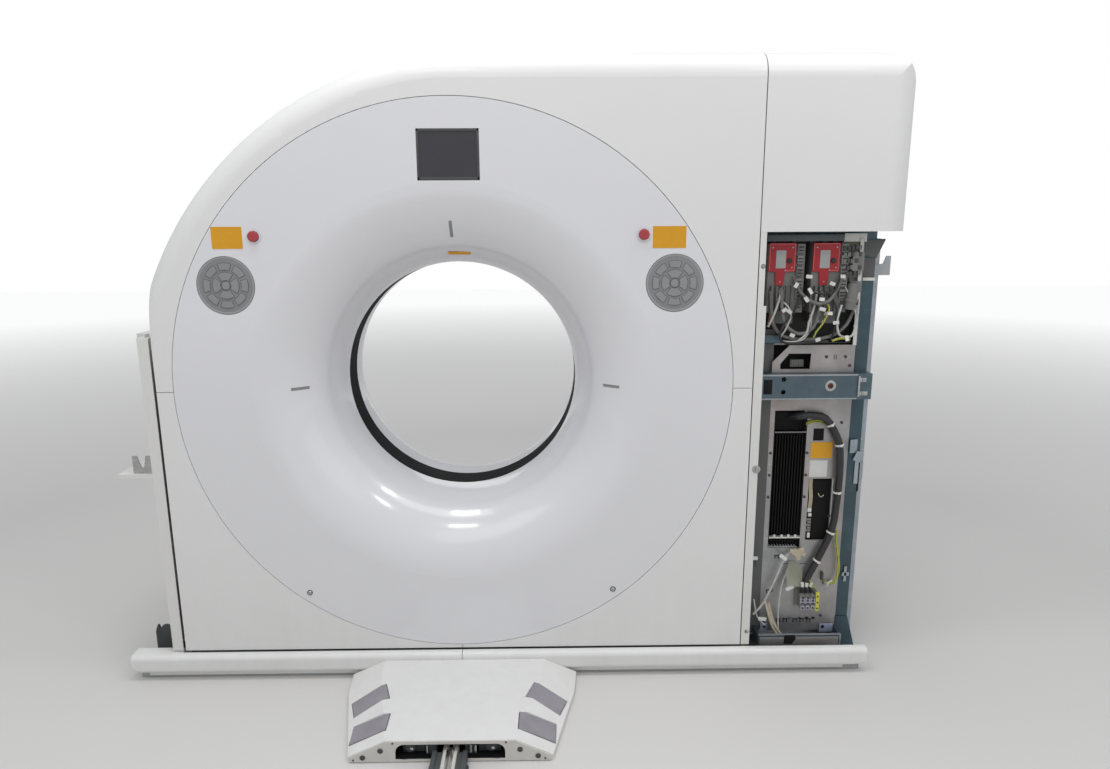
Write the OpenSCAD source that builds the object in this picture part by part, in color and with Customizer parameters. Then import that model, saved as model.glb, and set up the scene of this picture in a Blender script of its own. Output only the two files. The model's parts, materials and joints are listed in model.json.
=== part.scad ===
// Computed-tomography scanner: a tilting gantry hung between two posts on a low floor base,
// with an open service column on the right and a foot-pedal cover in front.
// Millimetres. The origin is on the floor under the isocentre, X runs to the right,
// Y runs into the machine from the side the patient faces, and Z is up.

/* [Gantry] */
// Radius of the patient bore
bore_r = 350; // [346:1:352]
// Distance from the scan plane forward to the front face
front_d = 270; // [266:1:274]
// Distance from the scan plane back to the rear face
rear_d = 330; // [326:1:340]
// Width of the covers beyond the left of the round disc
left_rim = 49; // [45:1:53]
// Width of the covers beyond the right of the round disc
right_rim = 56; // [54:1:60]
// Height of the covers above the top of the round disc
top_rim = 115; // [110:1:121]
// Height of the disc's lowest point above the lower edge of the front covers
low_rim = 12; // [9:1:14]
// Height of the lower edge of the front covers above the floor
bottom_z = 84; // [84:1:92]
// Depth of the rear cover's lower edge below the edge of the shell pan
rear_lip = 5; // [4:0.5:7]
// Wall thickness of the moulded covers
cover_t = 5; // [4:0.5:6]
// Radius of the rolled edge along the top and the arch
roll_r = 70; // [62:1:74]
// How much larger the radius of the large arch at the upper left is than the disc's
arch_out = 225; // [219:1:231]
// Distance of the centre of the arch to the right of the bore axis
arch_x = 86; // [82:1:90]
// Distance of the centre of the arch below the bore axis
arch_drop = 99; // [95:1:105]
// Depth of the front and rear covers along the bore axis
cover_d = 80; // [76:1:86]
// Gap between neighbouring covers
seam = 1.6; // [1:0.2:2.4]

/* [Funnel] */
// Radius of the flare that leads into the bore at the front
flare_r = 222; // [214:1:226]
// Width of the flat ring around the front flare
flat_w = 217; // [212:1:218]
// Radius of the flare that leads out of the bore at the rear
rear_flare_r = 235; // [228:1:240]
// Length of the dark scan window in the bore
window_l = 93; // [88:1:96]
// Wall thickness of the dark scan window in the bore
window_t = 3; // [2:0.5:4]
// Width of the display opening
display_w = 167; // [160:1:172]
// Height of the display opening
display_h = 133; // [126:1:138]
// Distance from the top of the disc down to the middle of the display
display_drop = 148; // [142:1:154]
// Radius of a control pad
pad_r = 79; // [74:1:81]
// Distance from the side of the disc in to a control pad, along X
pad_in = 173; // [167:1:179]
// Height of the control pads above the bore axis
pad_up = 298; // [291:1:303]
// Radius of a stop button
stop_r = 14.5; // [13:0.5:16]
// Travel of a stop button
stop_travel = 5; // [3:0.5:6]
// Distance from the side of the disc in to a stop button, along X
stop_in = 260; // [255:1:265]
// Height of the stop buttons above the bore axis
stop_up = 430; // [425:1:435]

/* [Tilting frame] */
// Distance from the rim of the disc in to the rim of the tilting frame ring
frame_in = 27; // [25:1:37]
// Clearance from the patient bore out to the hole in the tilting frame ring
frame_bore_gap = 78; // [74:1:86]
// Thickness of the tilting frame ring
frame_t = 40; // [34:1:46]
// Distance from the scan plane back to the frame ring
frame_y = 150; // [148:1:154]
// Radius of the trunnion pins
trunnion_r = 60; // [52:1:66]
// Radial clearance of the trunnion and shaft bearings
run_fit = 0.05; // [0.03:0.01:0.08]
// Outer radius of the trunnion bearings
trunnion_bearing_r = 88; // [84:1:96]
// Module of the tilt gearing
gear_m = 5; // [4.5:0.25:5.25]
// Full tooth count of the tilt sector
sector_teeth = 60; // [57:1:62]
// Tooth count of the tilt pinion
pinion_teeth = 14; // [13:1:16]
// Width of the toothed rim of the tilt sector
gear_w = 24; // [18:1:26]
// Largest tilt either way in degrees
tilt_max = 30; // [20:1:30]

/* [Rotor] */
// Distance from the rim of the disc in to the rim of the rotating drum
drum_in = 59; // [55:1:67]
// Clearance from the patient bore out to the hole in the rotating drum
drum_bore_gap = 24; // [20:1:32]
// Thickness of the drum plate
drum_t = 36; // [30:1:38]
// Distance from the scan plane back to the drum plate
drum_y = 70; // [68:1:72]
// Distance from the hole in the frame ring out to the middle of the main bearing
main_bearing_out = 42; // [36:1:54]
// Radius of a bearing ball
ball_r = 12; // [10:0.5:13]
// Number of bearing balls
ball_count = 36; // [24:1:44]
// Radius of the motor pulley
pulley_r = 60; // [54:1:64]
// Width of the drive belt
belt_w = 16; // [12:1:20]

/* [Base and posts] */
// Distance the base reaches beyond the left side of the covers
base_out = 147; // [142:1:152]
// Distance the base ends inside the right side of the column's top cover
base_in = 40; // [36:1:47]
// Thickness of the base plate
base_t = 16; // [12:1:18]
// Height of the base skirts above the floor
skirt_top = 80; // [76:1:81]
// Distance the front skirt stands ahead of the front covers
skirt_out = 28; // [25:1:29]
// Distance from the left end of the base in to the floor anchor holes
anchor_in = 45; // [40:1:50]
// Spacing of the floor anchor holes along Y
anchor_dy = 440; // [430:2:450]
// Radius of the floor anchor holes
anchor_r = 9; // [8:0.5:10]
// Height of the side posts above the tilt axis
post_rise = 155; // [149:1:161]
// Thickness of the side posts
post_t = 55; // [48:1:58]
// Gap between the gantry's side covers and the side posts
post_gap = 28; // [24:1:30]

/* [Service column] */
// Width of the column's top cover
column_w = 414; // [408:1:420]
// Height of the lower edge of the column's top cover above the side posts
bay_h = 280; // [276:1:286]
// Distance from the front face back to the column's posts and panels
panel_d = 90; // [88:1:94]
// Distance from the floor of the drive bay down to the lower edge of the crossbar
crossbar_drop = 162; // [156:1:168]
// Height of the crossbar
crossbar_h = 76; // [70:1:82]
// Thickness of the sheet metal in the column
sheet_t = 3; // [2:0.5:3.5]
// Radius of the main cable harness
harness_r = 11; // [9:0.5:12]
// Radius of the earth cable
earth_r = 4.5; // [3.5:0.5:5]

/* [Pedal cover] */
// Height of the top of the pedal cover above the floor
pedal_top = 60; // [56:1:62]
// Length of the pedal cover ahead of the front skirt
pedal_len = 366; // [360:1:372]
// Length of a foot pedal
pedal_l = 100; // [94:1:100]
// Width of a foot pedal
pedal_w = 70; // [64:1:72]
// Slope of the pedal cover's sides in degrees
pedal_slope = 23; // [21:0.5:24]
// Angle a foot pedal is pressed through
pedal_press = 6; // [4:0.5:6]

/* [Hidden] */
$fn = 96;

white = [0.90, 0.89, 0.91];
grey = [0.58, 0.58, 0.60];
dark = [0.16, 0.16, 0.18];
steel = [0.36, 0.38, 0.40];
zinc = [0.33, 0.43, 0.50];
eps = 0.01;

// The round disc is the bore, its flare and a flat ring, and the covers go around it.
disc_r = bore_r + flare_r + flat_w;
left_w = disc_r + left_rim;
right_w = disc_r + right_rim;
// Height of the bore axis and of the tilt axis above the floor
iso_z = bottom_z + low_rim + disc_r;
top_z = iso_z + disc_r + top_rim;
arch_r = disc_r + arch_out;
arch_z = iso_z - arch_drop;
display_z = iso_z + disc_r - display_drop;
pad_x = disc_r - pad_in;
pad_z = iso_z + pad_up;
stop_x = disc_r - stop_in;
stop_z = iso_z + stop_up;
frame_r = disc_r - frame_in;
frame_bore_r = bore_r + frame_bore_gap;
drum_r = disc_r - drum_in;
drum_bore_r = bore_r + drum_bore_gap;
main_bearing_r = frame_bore_r + main_bearing_out;

front_y = -front_d;
body_gap = 3;
column_x = right_w + body_gap;
column_right = column_x + column_w;
base_left = left_w + base_out;
base_right = column_right - base_in;
// Spacing of the floor anchor holes along X
anchor_dx = 2 * (base_left - anchor_in);
post_h = iso_z + post_rise;
column_cover_z = post_h + bay_h;
// Height of the floor of the drive bay
shelf_z = post_h - 40;
crossbar_z = shelf_z - crossbar_drop;
panel_y = front_y + panel_d;
cover_back_y = front_y + cover_d;
rear_cover_y = rear_d - cover_d;

// The crown is a tighter arc that runs from the flat top into the arch.
crown_r = disc_r - 89;
crown_z = top_z - crown_r;
crown_x = arch_x - sqrt(pow(arch_r - crown_r, 2) - pow(crown_z - arch_z, 2));

// Radius of the flat part's inner edge, where the front flare begins
flare_start_r = bore_r + flare_r;
throat_y = front_y + flare_r;
rear_throat_y = rear_d - rear_flare_r;
window_back_y = throat_y + window_l;

// The tilting body stays inside this radius about the tilt axis, over the base.
pan_r = disc_r + 11;
pan_t = 3;
// Lower edge of the rear cover, where the round shell pan meets it
rear_bottom_z = iso_z - sqrt(pow(pan_r, 2) - pow(rear_cover_y, 2)) - rear_lip;

arm_in = disc_r - 34;
arm_out = disc_r + 26;
arm_h = 200;
left_post_x = -(left_w + 2 + post_gap + post_t);
right_post_x = right_w + post_gap;
trunnion_end = right_post_x + post_t;

// Turns a shape drawn in X and Y, extruded along Z, to face along Y
module along_y(y0, y1) {
    translate([0, y1, 0]) rotate([90, 0, 0]) linear_extrude(y1 - y0) children();
}

// Turns a shape drawn in Y and Z, given as X and Y, to face along X
module along_x(x0, x1) {
    translate([x0, 0, 0]) rotate([90, 0, 90]) linear_extrude(x1 - x0) children();
}

// Revolves a profile of radius and Y about the bore axis
module about_bore() {
    translate([0, 0, iso_z]) rotate([-90, 0, 0]) rotate_extrude($fn = 180) children();
}

module ring_2d(r_out, r_in) {
    difference() {
        circle(r_out);
        circle(r_in);
    }
}

// Tube along Y about the point x, z
module tube_y(x, z, r_out, r_in, y0, y1) {
    translate([x, 0, z]) along_y(y0, y1) ring_2d(r_out, r_in);
}

module rod_y(x, z, r, y0, y1) {
    translate([x, y1, z]) rotate([90, 0, 0]) cylinder(r = r, h = y1 - y0);
}

module rod_x(y, z, r, x0, x1) {
    translate([x0, y, z]) rotate([0, 90, 0]) cylinder(r = r, h = x1 - x0);
}

module rod_z(x, y, r, z0, z1) {
    translate([x, y, z0]) cylinder(r = r, h = z1 - z0);
}

module box(x0, x1, y0, y1, z0, z1) {
    translate([x0, y0, z0]) cube([x1 - x0, y1 - y0, z1 - z0]);
}

// Rectangle whose far corner in both directions is rounded
module rolled_2d(w, h, r) {
    square([w, h - r]);
    square([w - r, h]);
    intersection() {
        translate([w - r, h - r]) circle(r);
        square([w, h]);
    }
}

// Covers

arch_c = [arch_x, arch_z];
crown_c = [crown_x, crown_z];
lean = (crown_c - arch_c) / (arch_r - crown_r);
far = 1.2 * arch_r;
arch_sector = [arch_c, arch_c + far * lean, arch_c + [-far, far], arch_c + [-far, 0]];
crown_sector = [crown_c, [crown_x, crown_z + far], arch_c + far * lean + [-eps, 0]];

// Cuts what lies outside an arc about c, within a sector, with a rolled edge at the front
module corner_cut(c, r, roll, sector, y0, y1) {
    d = y1 - y0 + 1;
    intersection() {
        translate([0, y1 + 2, 0]) rotate([90, 0, 0]) linear_extrude(d + 3) polygon(sector);
        translate([c[0], y1 + 1, c[1]]) rotate([90, 0, 0]) rotate_extrude($fn = 360) difference() {
            translate([r - roll, -2]) square([far, d + 5]);
            translate([0, -3]) square([r, roll > 0 ? d + 3 - roll : d + 7]);
            if (roll > 0) translate([r - roll, d - roll]) circle(roll);
        }
    }
}

// Everything outside the arch and the crown, for an outline pulled in by a wall
module corners(inset, roll, y0, y1) {
    corner_cut(arch_c, arch_r - inset, roll, arch_sector, y0, y1);
    corner_cut(crown_c, crown_r - inset, roll, crown_sector, y0, y1);
}

// Blank of a front cover between its face and back planes
module cover_blank(y_face, y_back, z_low, inset = 0) {
    face = y_face + inset;
    difference() {
        translate([-left_w + inset, 0, z_low + inset])
            rotate([90, 0, 90]) linear_extrude(left_w + right_w - 2 * inset)
                translate([y_back, 0]) mirror([1, 0])
                    rolled_2d(y_back - face, top_z - z_low - 2 * inset, roll_r - inset);
        corners(inset, roll_r - inset, face, y_back);
    }
}

module cover_shell(y_face, y_back, z_low) {
    difference() {
        cover_blank(y_face, y_back, z_low);
        cover_blank(y_face, y_back + 1, z_low, cover_t);
    }
}

module front_shell() {
    difference() {
        cover_shell(front_y, cover_back_y, bottom_z);
        rod_y(0, iso_z, disc_r + seam, front_y - 1, cover_back_y + 1);
    }
}

module cover_upper() {
    color(white) intersection() {
        front_shell();
        box(-left_w, right_w, front_y, cover_back_y, iso_z + seam / 2, top_z + 1);
    }
}

module cover_lower_left() {
    color(white) intersection() {
        front_shell();
        box(-left_w, -seam / 2, front_y, cover_back_y, bottom_z, iso_z - seam / 2);
    }
}

module cover_lower_right() {
    color(white) intersection() {
        front_shell();
        box(seam / 2, right_w, front_y, cover_back_y, bottom_z, iso_z - seam / 2);
    }
}

// Quarter ring that turns a flat face of revolution into the bore
module flare_2d(r_mid, y_mid, r, front) {
    intersection() {
        translate([r_mid, y_mid]) ring_2d(r, r - cover_t);
        translate([r_mid - r - 1, front ? y_mid - r - 1 : y_mid]) square(r + 1);
    }
}

module front_flare() {
    about_bore() flare_2d(flare_start_r, throat_y, flare_r, true);
}

// Slot shape of a laser window at an angle about the bore axis
module laser_slot(angle, grow = 0) {
    slot_l = 44 + 2 * grow;
    slot_w = 9 + 2 * grow;
    translate([0, 0, iso_z]) rotate([0, -angle, 0])
        translate([flare_start_r - laser_in - slot_l / 2, front_y - 1, -slot_w / 2])
            cube([slot_l, flare_r / 2, slot_w]);
}

laser_angles = [0, 90, 180];
laser_in = 125;

module funnel_front() {
    rim_d = 24;
    rim_t = 6;
    color(white) difference() {
        union() {
            about_bore() {
                translate([flare_start_r, front_y]) square([disc_r - flare_start_r, cover_t]);
                translate([disc_r - rim_t, front_y]) square([rim_t, rim_d]);
            }
            front_flare();
        }
        box(-display_w / 2 + 3, display_w / 2 + 3, front_y - 1, front_y + cover_t + 1,
            display_z - display_h / 2, display_z + display_h / 2);
        for (side = [-1, 1]) {
            rod_y(side * pad_x, pad_z, pad_r + 1, front_y - 1, front_y + cover_t + 1);
            rod_y(side * stop_x, stop_z, stop_r + 6, front_y - 1, front_y + cover_t + 1);
        }
        for (a = laser_angles) laser_slot(a);
    }
}

module laser_windows() {
    color(dark) for (a = laser_angles) intersection() {
        about_bore() intersection() {
            flare_2d(flare_start_r, throat_y, flare_r, true);
            translate([flare_start_r, throat_y]) circle(flare_r - 1);
        }
        laser_slot(a);
    }
}

module display_screen() {
    lip = 6;
    glass_y = front_y + 2;
    color(dark) {
        box(-display_w / 2 + 3.4, display_w / 2 + 2.6, glass_y, front_y + cover_t + eps,
            display_z - display_h / 2 + 0.4, display_z + display_h / 2 - 0.4);
        box(-display_w / 2 - lip + 3, display_w / 2 + lip + 3, front_y + cover_t, front_y + 34,
            display_z - display_h / 2 - lip, display_z + display_h / 2 + lip);
    }
}

module control_pads() {
    face_y = front_y + 0.6;
    color(grey) for (side = [-1, 1]) {
        rod_y(side * pad_x, pad_z, pad_r, face_y, front_y + cover_t + eps);
        rod_y(side * pad_x, pad_z, pad_r + 8, front_y + cover_t, front_y + 22);
    }
}

module stop_bezels() {
    back_y = front_y + 26;
    color(dark) for (side = [-1, 1]) {
        tube_y(side * stop_x, stop_z, stop_r + 5.8, stop_r + 0.4, front_y - 1.5, back_y);
        tube_y(side * stop_x, stop_z, stop_r + 12, stop_r + 5, front_y + cover_t, back_y);
        rod_y(side * stop_x, stop_z, stop_r + 12, back_y - eps, back_y + 6);
    }
}

module stop_button(side) {
    head_out = 9;
    color([0.75, 0.06, 0.08]) {
        rod_y(side * stop_x, stop_z, stop_r, front_y - head_out, front_y + 26 - stop_travel - 0.3);
    }
}

module cover_rear() {
    color(white) difference() {
        union() {
            difference() {
                translate([0, rear_d + rear_cover_y, 0]) mirror([0, 1, 0])
                    cover_shell(rear_cover_y, rear_d, rear_bottom_z);
                rod_y(0, iso_z, bore_r + rear_flare_r, rear_d - cover_t - 1, rear_d + 1);
            }
            about_bore() {
                flare_2d(bore_r + rear_flare_r, rear_throat_y, rear_flare_r, false);
                translate([bore_r, window_back_y])
                    square([cover_t, rear_throat_y - window_back_y + eps]);
                translate([bore_r + rear_flare_r - eps, rear_d - cover_t])
                    square([2, cover_t]);
            }
        }
    }
}

module bore_window() {
    color(dark) tube_y(0, iso_z, bore_r + window_t, bore_r, throat_y, window_back_y);
}

// Height at which the arch meets the flat left side
shoulder_z = arch_z + sqrt(pow(arch_r, 2) - pow(left_w + arch_x, 2));

module shell_top() {
    x0 = -left_w + pan_t;
    x1 = right_w - pan_t;
    y0 = cover_back_y;
    y1 = rear_cover_y;
    color(white) difference() {
        box(x0, x1, y0, y1, shoulder_z + 4, top_z);
        corners(0, 0, y0, y1);
        difference() {
            box(x0 - 1, x1 + 1, y0 - 1, y1 + 1, shoulder_z, top_z - pan_t);
            corners(pan_t, 0, y0 - 2, y1 + 2);
        }
    }
}

module side_panels() {
    pass_r = trunnion_r + 12;
    color(white) difference() {
        union() {
            box(-left_w, -left_w + pan_t, cover_back_y, rear_cover_y, bottom_z + 46, shoulder_z);
            box(right_w - pan_t, right_w, cover_back_y, rear_cover_y, bottom_z + 46, top_z);
        }
        rod_x(0, iso_z, pass_r, -left_w - 1, right_w + 1);
    }
}

module shell_pan() {
    color(white) intersection() {
        along_x(-left_w + pan_t, right_w - pan_t) {
            translate([0, iso_z]) ring_2d(pan_r + pan_t, pan_r);
            translate([cover_back_y, bottom_z + cover_t - 4]) square([pan_t, 40]);
            translate([rear_cover_y - pan_t, rear_bottom_z + 1]) square([pan_t, rear_lip + 7]);
        }
        box(-left_w, right_w, cover_back_y, rear_cover_y, 0, bottom_z + 50);
    }
}

// Tilting frame

window_count = 10;
window_ring_r = frame_r - 122;
motor_x = 138 - drum_r;
motor_drop = drum_r - 145;
motor_z = iso_z - motor_drop;
motor_reach = sqrt(pow(motor_x, 2) + pow(motor_drop, 2));

module tilt_frame() {
    back_y = frame_y + frame_t;
    lug = 105;
    color(steel) {
        difference() {
            along_y(frame_y, back_y) difference() {
                union() {
                    translate([0, iso_z]) circle(frame_r);
                    translate([-arm_out, iso_z - arm_h / 2]) square([2 * arm_out, arm_h]);
                    translate([motor_x - lug, motor_z - lug + 10]) square([2 * lug, 2 * lug]);
                }
                translate([0, iso_z]) circle(frame_bore_r);
                for (i = [0:window_count - 1])
                    translate([0, iso_z]) rotate((i + 0.5) * 360 / window_count)
                        translate([window_ring_r, 0]) circle(78);
            }
            rod_y(motor_x, motor_z, 46, frame_y - 1, back_y + 1);
        }
        for (side = [0, 1]) mirror([side, 0, 0]) {
            difference() {
                box(arm_in, arm_out, -arm_h / 2, frame_y + eps, iso_z - arm_h / 2, iso_z + arm_h / 2);
                box(arm_in - 1, arm_out - 12, -arm_h / 2 + 20, frame_y - 20,
                    iso_z + trunnion_r + 12, iso_z + arm_h / 2 + 1);
            }
        }
        for (y = [-95, 90], z = [-90, 60]) {
            box(arm_out - eps, right_w - pan_t, y, y + 30, iso_z + z, iso_z + z + 30);
            box(-left_w + pan_t, -arm_out + eps, y, y + 30, iso_z + z, iso_z + z + 30);
        }
        rod_x(0, iso_z, trunnion_r, arm_out - eps, trunnion_end + 40);
        rod_x(0, iso_z, trunnion_r, left_post_x, -arm_out + eps);
    }
}

race_t = 30;
race_w = frame_y - drum_y - drum_t;
groove_fit = 0.3;

module ball_groove() {
    translate([main_bearing_r, frame_y - race_w / 2]) circle(ball_r + groove_fit, $fn = 48);
}

module bearing_outer() {
    color(steel) about_bore() difference() {
        translate([main_bearing_r + run_fit / 2, frame_y - race_w + 0.5])
            square([race_t, race_w - 0.5]);
        ball_groove();
    }
}

module bearing_inner() {
    color(steel) {
        about_bore() difference() {
            translate([main_bearing_r - race_t, frame_y - race_w])
                square([race_t - run_fit / 2, race_w - 0.5]);
            ball_groove();
        }
        for (i = [0:ball_count - 1])
            translate([0, frame_y - race_w / 2, iso_z]) rotate([0, i * 360 / ball_count, 0])
                translate([main_bearing_r, 0, 0]) sphere(ball_r, $fn = 48);
    }
}

// Tilt gearing

sector_r = gear_m * sector_teeth / 2;
pinion_r = gear_m * pinion_teeth / 2;
pressure = 20;
backlash_deg = 0.5;
tooth_steps = 5;
sector_x = trunnion_end + 8;
sector_half = 48;

function inv_deg(a) = tan(a) * 180 / PI - a;

// Half angle of a tooth at radius r, for a gear of pitch radius pr
function tooth_half(r, pr, teeth, slack) =
    90 / teeth + inv_deg(pressure) - inv_deg(acos(min(1, pr * cos(pressure) / r))) - slack;

// Point at radius r on a tooth's flank, on the side given by turn, about the direction a
function flank(a, r, turn, pr, teeth, slack) =
    let (b = a + turn * tooth_half(max(r, pr * cos(pressure)), pr, teeth, slack)) r * [cos(b), sin(b)];

// Points of one tooth about the direction a, from the root up and back down
function tooth_points(a, pr, teeth, slack) =
    let (root = pr - 1.25 * gear_m, tip = pr + 0.9 * gear_m, base = max(root, pr * cos(pressure)),
        rise = concat([root], [for (k = [0:tooth_steps]) base + (tip - base) * k / tooth_steps]),
        n = len(rise) - 1)
    concat([for (k = [0:n]) flank(a, rise[k], -1, pr, teeth, slack)],
        [for (k = [0:n]) flank(a, rise[n - k], 1, pr, teeth, slack)]);

module tilt_sector() {
    pitch = 360 / sector_teeth;
    span = floor(sector_half / pitch);
    hub_r = trunnion_r + 26;
    web = sector_r - 1.25 * gear_m - hub_r;
    color(steel) translate([0, 0, iso_z]) difference() {
        union() {
            along_x(sector_x, sector_x + gear_w) {
                polygon(concat([[0, 0]], [for (i = [-span:span]) each
                    tooth_points(-90 + i * pitch, sector_r, sector_teeth, backlash_deg * 0.2)]));
                circle(hub_r);
            }
        }
        rod_x(0, 0, trunnion_r + run_fit, sector_x - 1, sector_x + gear_w + 1);
        for (a = [-126, -90, -54])
            rod_x(cos(a) * (hub_r + web / 2), sin(a) * (hub_r + web / 2), web / 2 - 10,
                sector_x - 1, sector_x + gear_w + 1);
    }
}

pinion_z = iso_z - sector_r - pinion_r;
pinion_shaft_r = 12;
motor_case_x = sector_x + gear_w + 10;

module tilt_pinion() {
    pitch = 360 / pinion_teeth;
    color(steel) {
        translate([0, 0, pinion_z]) along_x(sector_x, sector_x + gear_w)
            polygon([for (i = [0:pinion_teeth - 1]) each
                tooth_points(90 + (i + 0.5) * pitch, pinion_r, pinion_teeth, backlash_deg)]);
        rod_x(0, pinion_z, pinion_shaft_r, sector_x + gear_w - eps, motor_case_x + 40);
    }
}

module tilt_motor() {
    case_half = 62;
    case_l = 120;
    color(grey) {
        difference() {
            box(motor_case_x, motor_case_x + case_l, -case_half, case_half,
                pinion_z - case_half, pinion_z + case_half - 12);
            rod_x(0, pinion_z, pinion_shaft_r + run_fit, motor_case_x - 1, motor_case_x + 40 + 0.4);
        }
        for (y = [-case_half, case_half - 10])
            box(trunnion_end, motor_case_x + eps, y, y + 10, pinion_z - case_half, pinion_z + 12);
        rod_y(motor_case_x + case_l / 2, pinion_z - 6, 52, case_half - eps, case_half + 90);
    }
}

// Rotor

module rotor_drum() {
    rim_t = 15;
    rim_front_y = -56;
    back_y = drum_y + drum_t;
    color(steel) {
        difference() {
            tube_y(0, iso_z, drum_r, drum_bore_r, drum_y, back_y);
            for (i = [0:7])
                translate([0, 0, iso_z]) rotate([0, 22.5 + i * 45, 0])
                    rod_y(drum_r - 80, 0, 44, drum_y - 1, back_y + 1);
        }
        tube_y(0, iso_z, drum_r, drum_r - rim_t, rim_front_y, drum_y + eps);
    }
}

tube_dist = drum_r - 120;

module tube_assembly() {
    tube_r = 88;
    color([0.72, 0.72, 0.74]) {
        rod_y(0, iso_z + tube_dist, tube_r, -150, drum_y);
        rod_y(0, iso_z + tube_dist, tube_r - 24, -186, -150 + eps);
        difference() {
            box(-90, 90, -40, drum_y, iso_z + tube_dist - tube_r - 92, iso_z + tube_dist - tube_r + 14);
            box(-60, 60, -12, 12, iso_z, iso_z + tube_dist - tube_r - 20);
        }
    }
}

module detector_arc() {
    arc_half = 32;
    r_in = drum_r - 230;
    r_out = drum_r - 130;
    reach = 1.5 * r_out;
    color(dark) intersection() {
        tube_y(0, iso_z, r_out, r_in, -48, drum_y);
        translate([0, drum_y, iso_z]) rotate([90, 0, 0]) linear_extrude(drum_y + 48)
            polygon([[0, 0], reach * [-sin(arc_half), -cos(arc_half)], [0, -reach],
                reach * [sin(arc_half), -cos(arc_half)]]);
    }
}

module power_units() {
    r = drum_r;
    color([0.55, 0.55, 0.5]) translate([0, 0, iso_z]) {
        box(40 - r, 260 - r, -140, drum_y, -110, 130);
        box(r - 250, r - 50, -130, drum_y, -120, 120);
        rotate([0, 45, 0]) box(r - 230, r - 90, -120, drum_y, -110, 110);
        rotate([0, 135, 0]) box(r - 240, r - 40, -120, drum_y, -100, 100);
        rotate([0, -135, 0]) box(r - 230, r - 70, -120, drum_y, -100, 100);
    }
}

belt_y = drum_y + drum_t / 2 - belt_w / 2;
belt_t = 2.5;
belt_fit = 0.7;

// Outline of a belt around two rounds a distance d apart along X, drawn as a fine polygon
function belt_points(r_big, r_small, d) =
    let (lean = asin((r_big - r_small) / d), big = (180 + 2 * lean) / 72, small = (180 - 2 * lean) / 12)
    concat([for (k = [0:72]) let (a = 90 - lean + k * big) r_big * [cos(a), sin(a)]],
        [for (k = [0:12]) let (a = lean - 90 + k * small) [d, 0] + r_small * [cos(a), sin(a)]]);

module drive_belt() {
    inner = belt_points(drum_r + belt_fit, pulley_r + belt_fit, motor_reach);
    outer = belt_points(drum_r + belt_fit + belt_t, pulley_r + belt_fit + belt_t, motor_reach);
    color(dark) translate([0, 0, iso_z]) along_y(belt_y, belt_y + belt_w)
        rotate(atan2(-motor_drop, motor_x)) difference() {
            polygon(outer);
            polygon(inner);
        }
}

motor_shaft_r = 12;

module motor_pulley() {
    flange_t = 3;
    color(grey) {
        rod_y(motor_x, motor_z, pulley_r, belt_y - 1, belt_y + belt_w + 1);
        rod_y(motor_x, motor_z, pulley_r + 8, belt_y + belt_w + 1 - eps, belt_y + belt_w + 1 + flange_t);
        rod_y(motor_x, motor_z, pulley_r + 8, belt_y - 1 - flange_t, belt_y - 1 + eps);
        rod_y(motor_x, motor_z, motor_shaft_r, belt_y, frame_y + frame_t);
    }
}

module drive_motor() {
    back_y = frame_y + frame_t;
    color(dark) difference() {
        union() {
            rod_y(motor_x, motor_z, 75, back_y, rear_d - cover_t - 17);
            rod_y(motor_x, motor_z, 45.8, frame_y - 8, back_y + eps);
        }
        rod_y(motor_x, motor_z, motor_shaft_r + run_fit, frame_y - 9, back_y + 0.5);
    }
}

// Base and posts

base_front_y = front_y - 4;
base_back_y = rear_d - 34;

module base_plate() {
    color(steel) difference() {
        box(-base_left + 8, base_right - 8, base_front_y, base_back_y, 0, base_t);
        for (sx = [-1, 1], sy = [-1, 1])
            rod_z(sx * anchor_dx / 2, sy * anchor_dy / 2, anchor_r, -1, base_t + 1);
        for (i = [-2:2]) rod_z(i * 300, 10, 98, -1, base_t + 1);
    }
}

module foot_beams() {
    wall = 5;
    color(steel) {
        for (x = [left_post_x, right_post_x]) difference() {
            box(x, x + post_t, panel_y, base_back_y - 10, base_t, foot_top);
            box(x + wall, x + post_t - wall, panel_y - 1, base_back_y - 9,
                base_t + wall, foot_top - wall);
        }
        difference() {
            box(base_right - 80, base_right - 20, panel_y + 90, base_back_y - 10, base_t, foot_top);
            box(base_right - 80 + wall, base_right - 20 - wall, panel_y + 89, base_back_y - 9,
                base_t + wall, foot_top - wall);
        }
    }
}

foot_top = base_t + 54;

// Side view of a post in Y and Z: wide at the foot and narrow at the bearing
module post_side_2d() {
    polygon([[panel_y, foot_top], [235, foot_top], [235, foot_top + 60], [150, 520], [150, post_h],
        [panel_y, post_h]]);
}

module post(x) {
    difference() {
        along_x(x, x + post_t) difference() {
            post_side_2d();
            translate([-40, 330]) circle(84);
            translate([-20, 560]) circle(66);
        }
        rod_x(0, iso_z, trunnion_bearing_r, x - 1, x + post_t + 1);
    }
}

module post_left() {
    color(white) post(left_post_x);
}

module post_right() {
    color(steel) post(right_post_x);
}

module trunnion_bearings() {
    color([0.6, 0.6, 0.62]) for (x = [left_post_x, right_post_x])
        translate([0, 0, iso_z]) along_x(x, x + post_t) ring_2d(trunnion_bearing_r, trunnion_r + run_fit);
}

// Cross section of a front skirt in Y and Z, bellied at the front and pulled in by a wall
module skirt_2d(inset, y_back) {
    face_y = front_y - skirt_out + inset;
    r = 16 - inset;
    low = skirt_low + inset;
    top = skirt_top - inset;
    intersection() {
        union() {
            for (z = [top - r, low + r]) translate([face_y + r, z]) circle(r);
            translate([face_y, low + r]) square([r + 1, top - low - 2 * r]);
            translate([face_y + r, low]) square([y_back - face_y - r, top - low]);
        }
        translate([face_y - 1, low - 1]) square([y_back - face_y + 1, top - low + 2]);
    }
}

skirt_low = 22;
skirt_left = base_left + 8;
skirt_right = base_right + 6;
skirt_back_y = base_front_y - 0.2;
ledge_t = 5;
ledge_d = 28;

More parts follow.
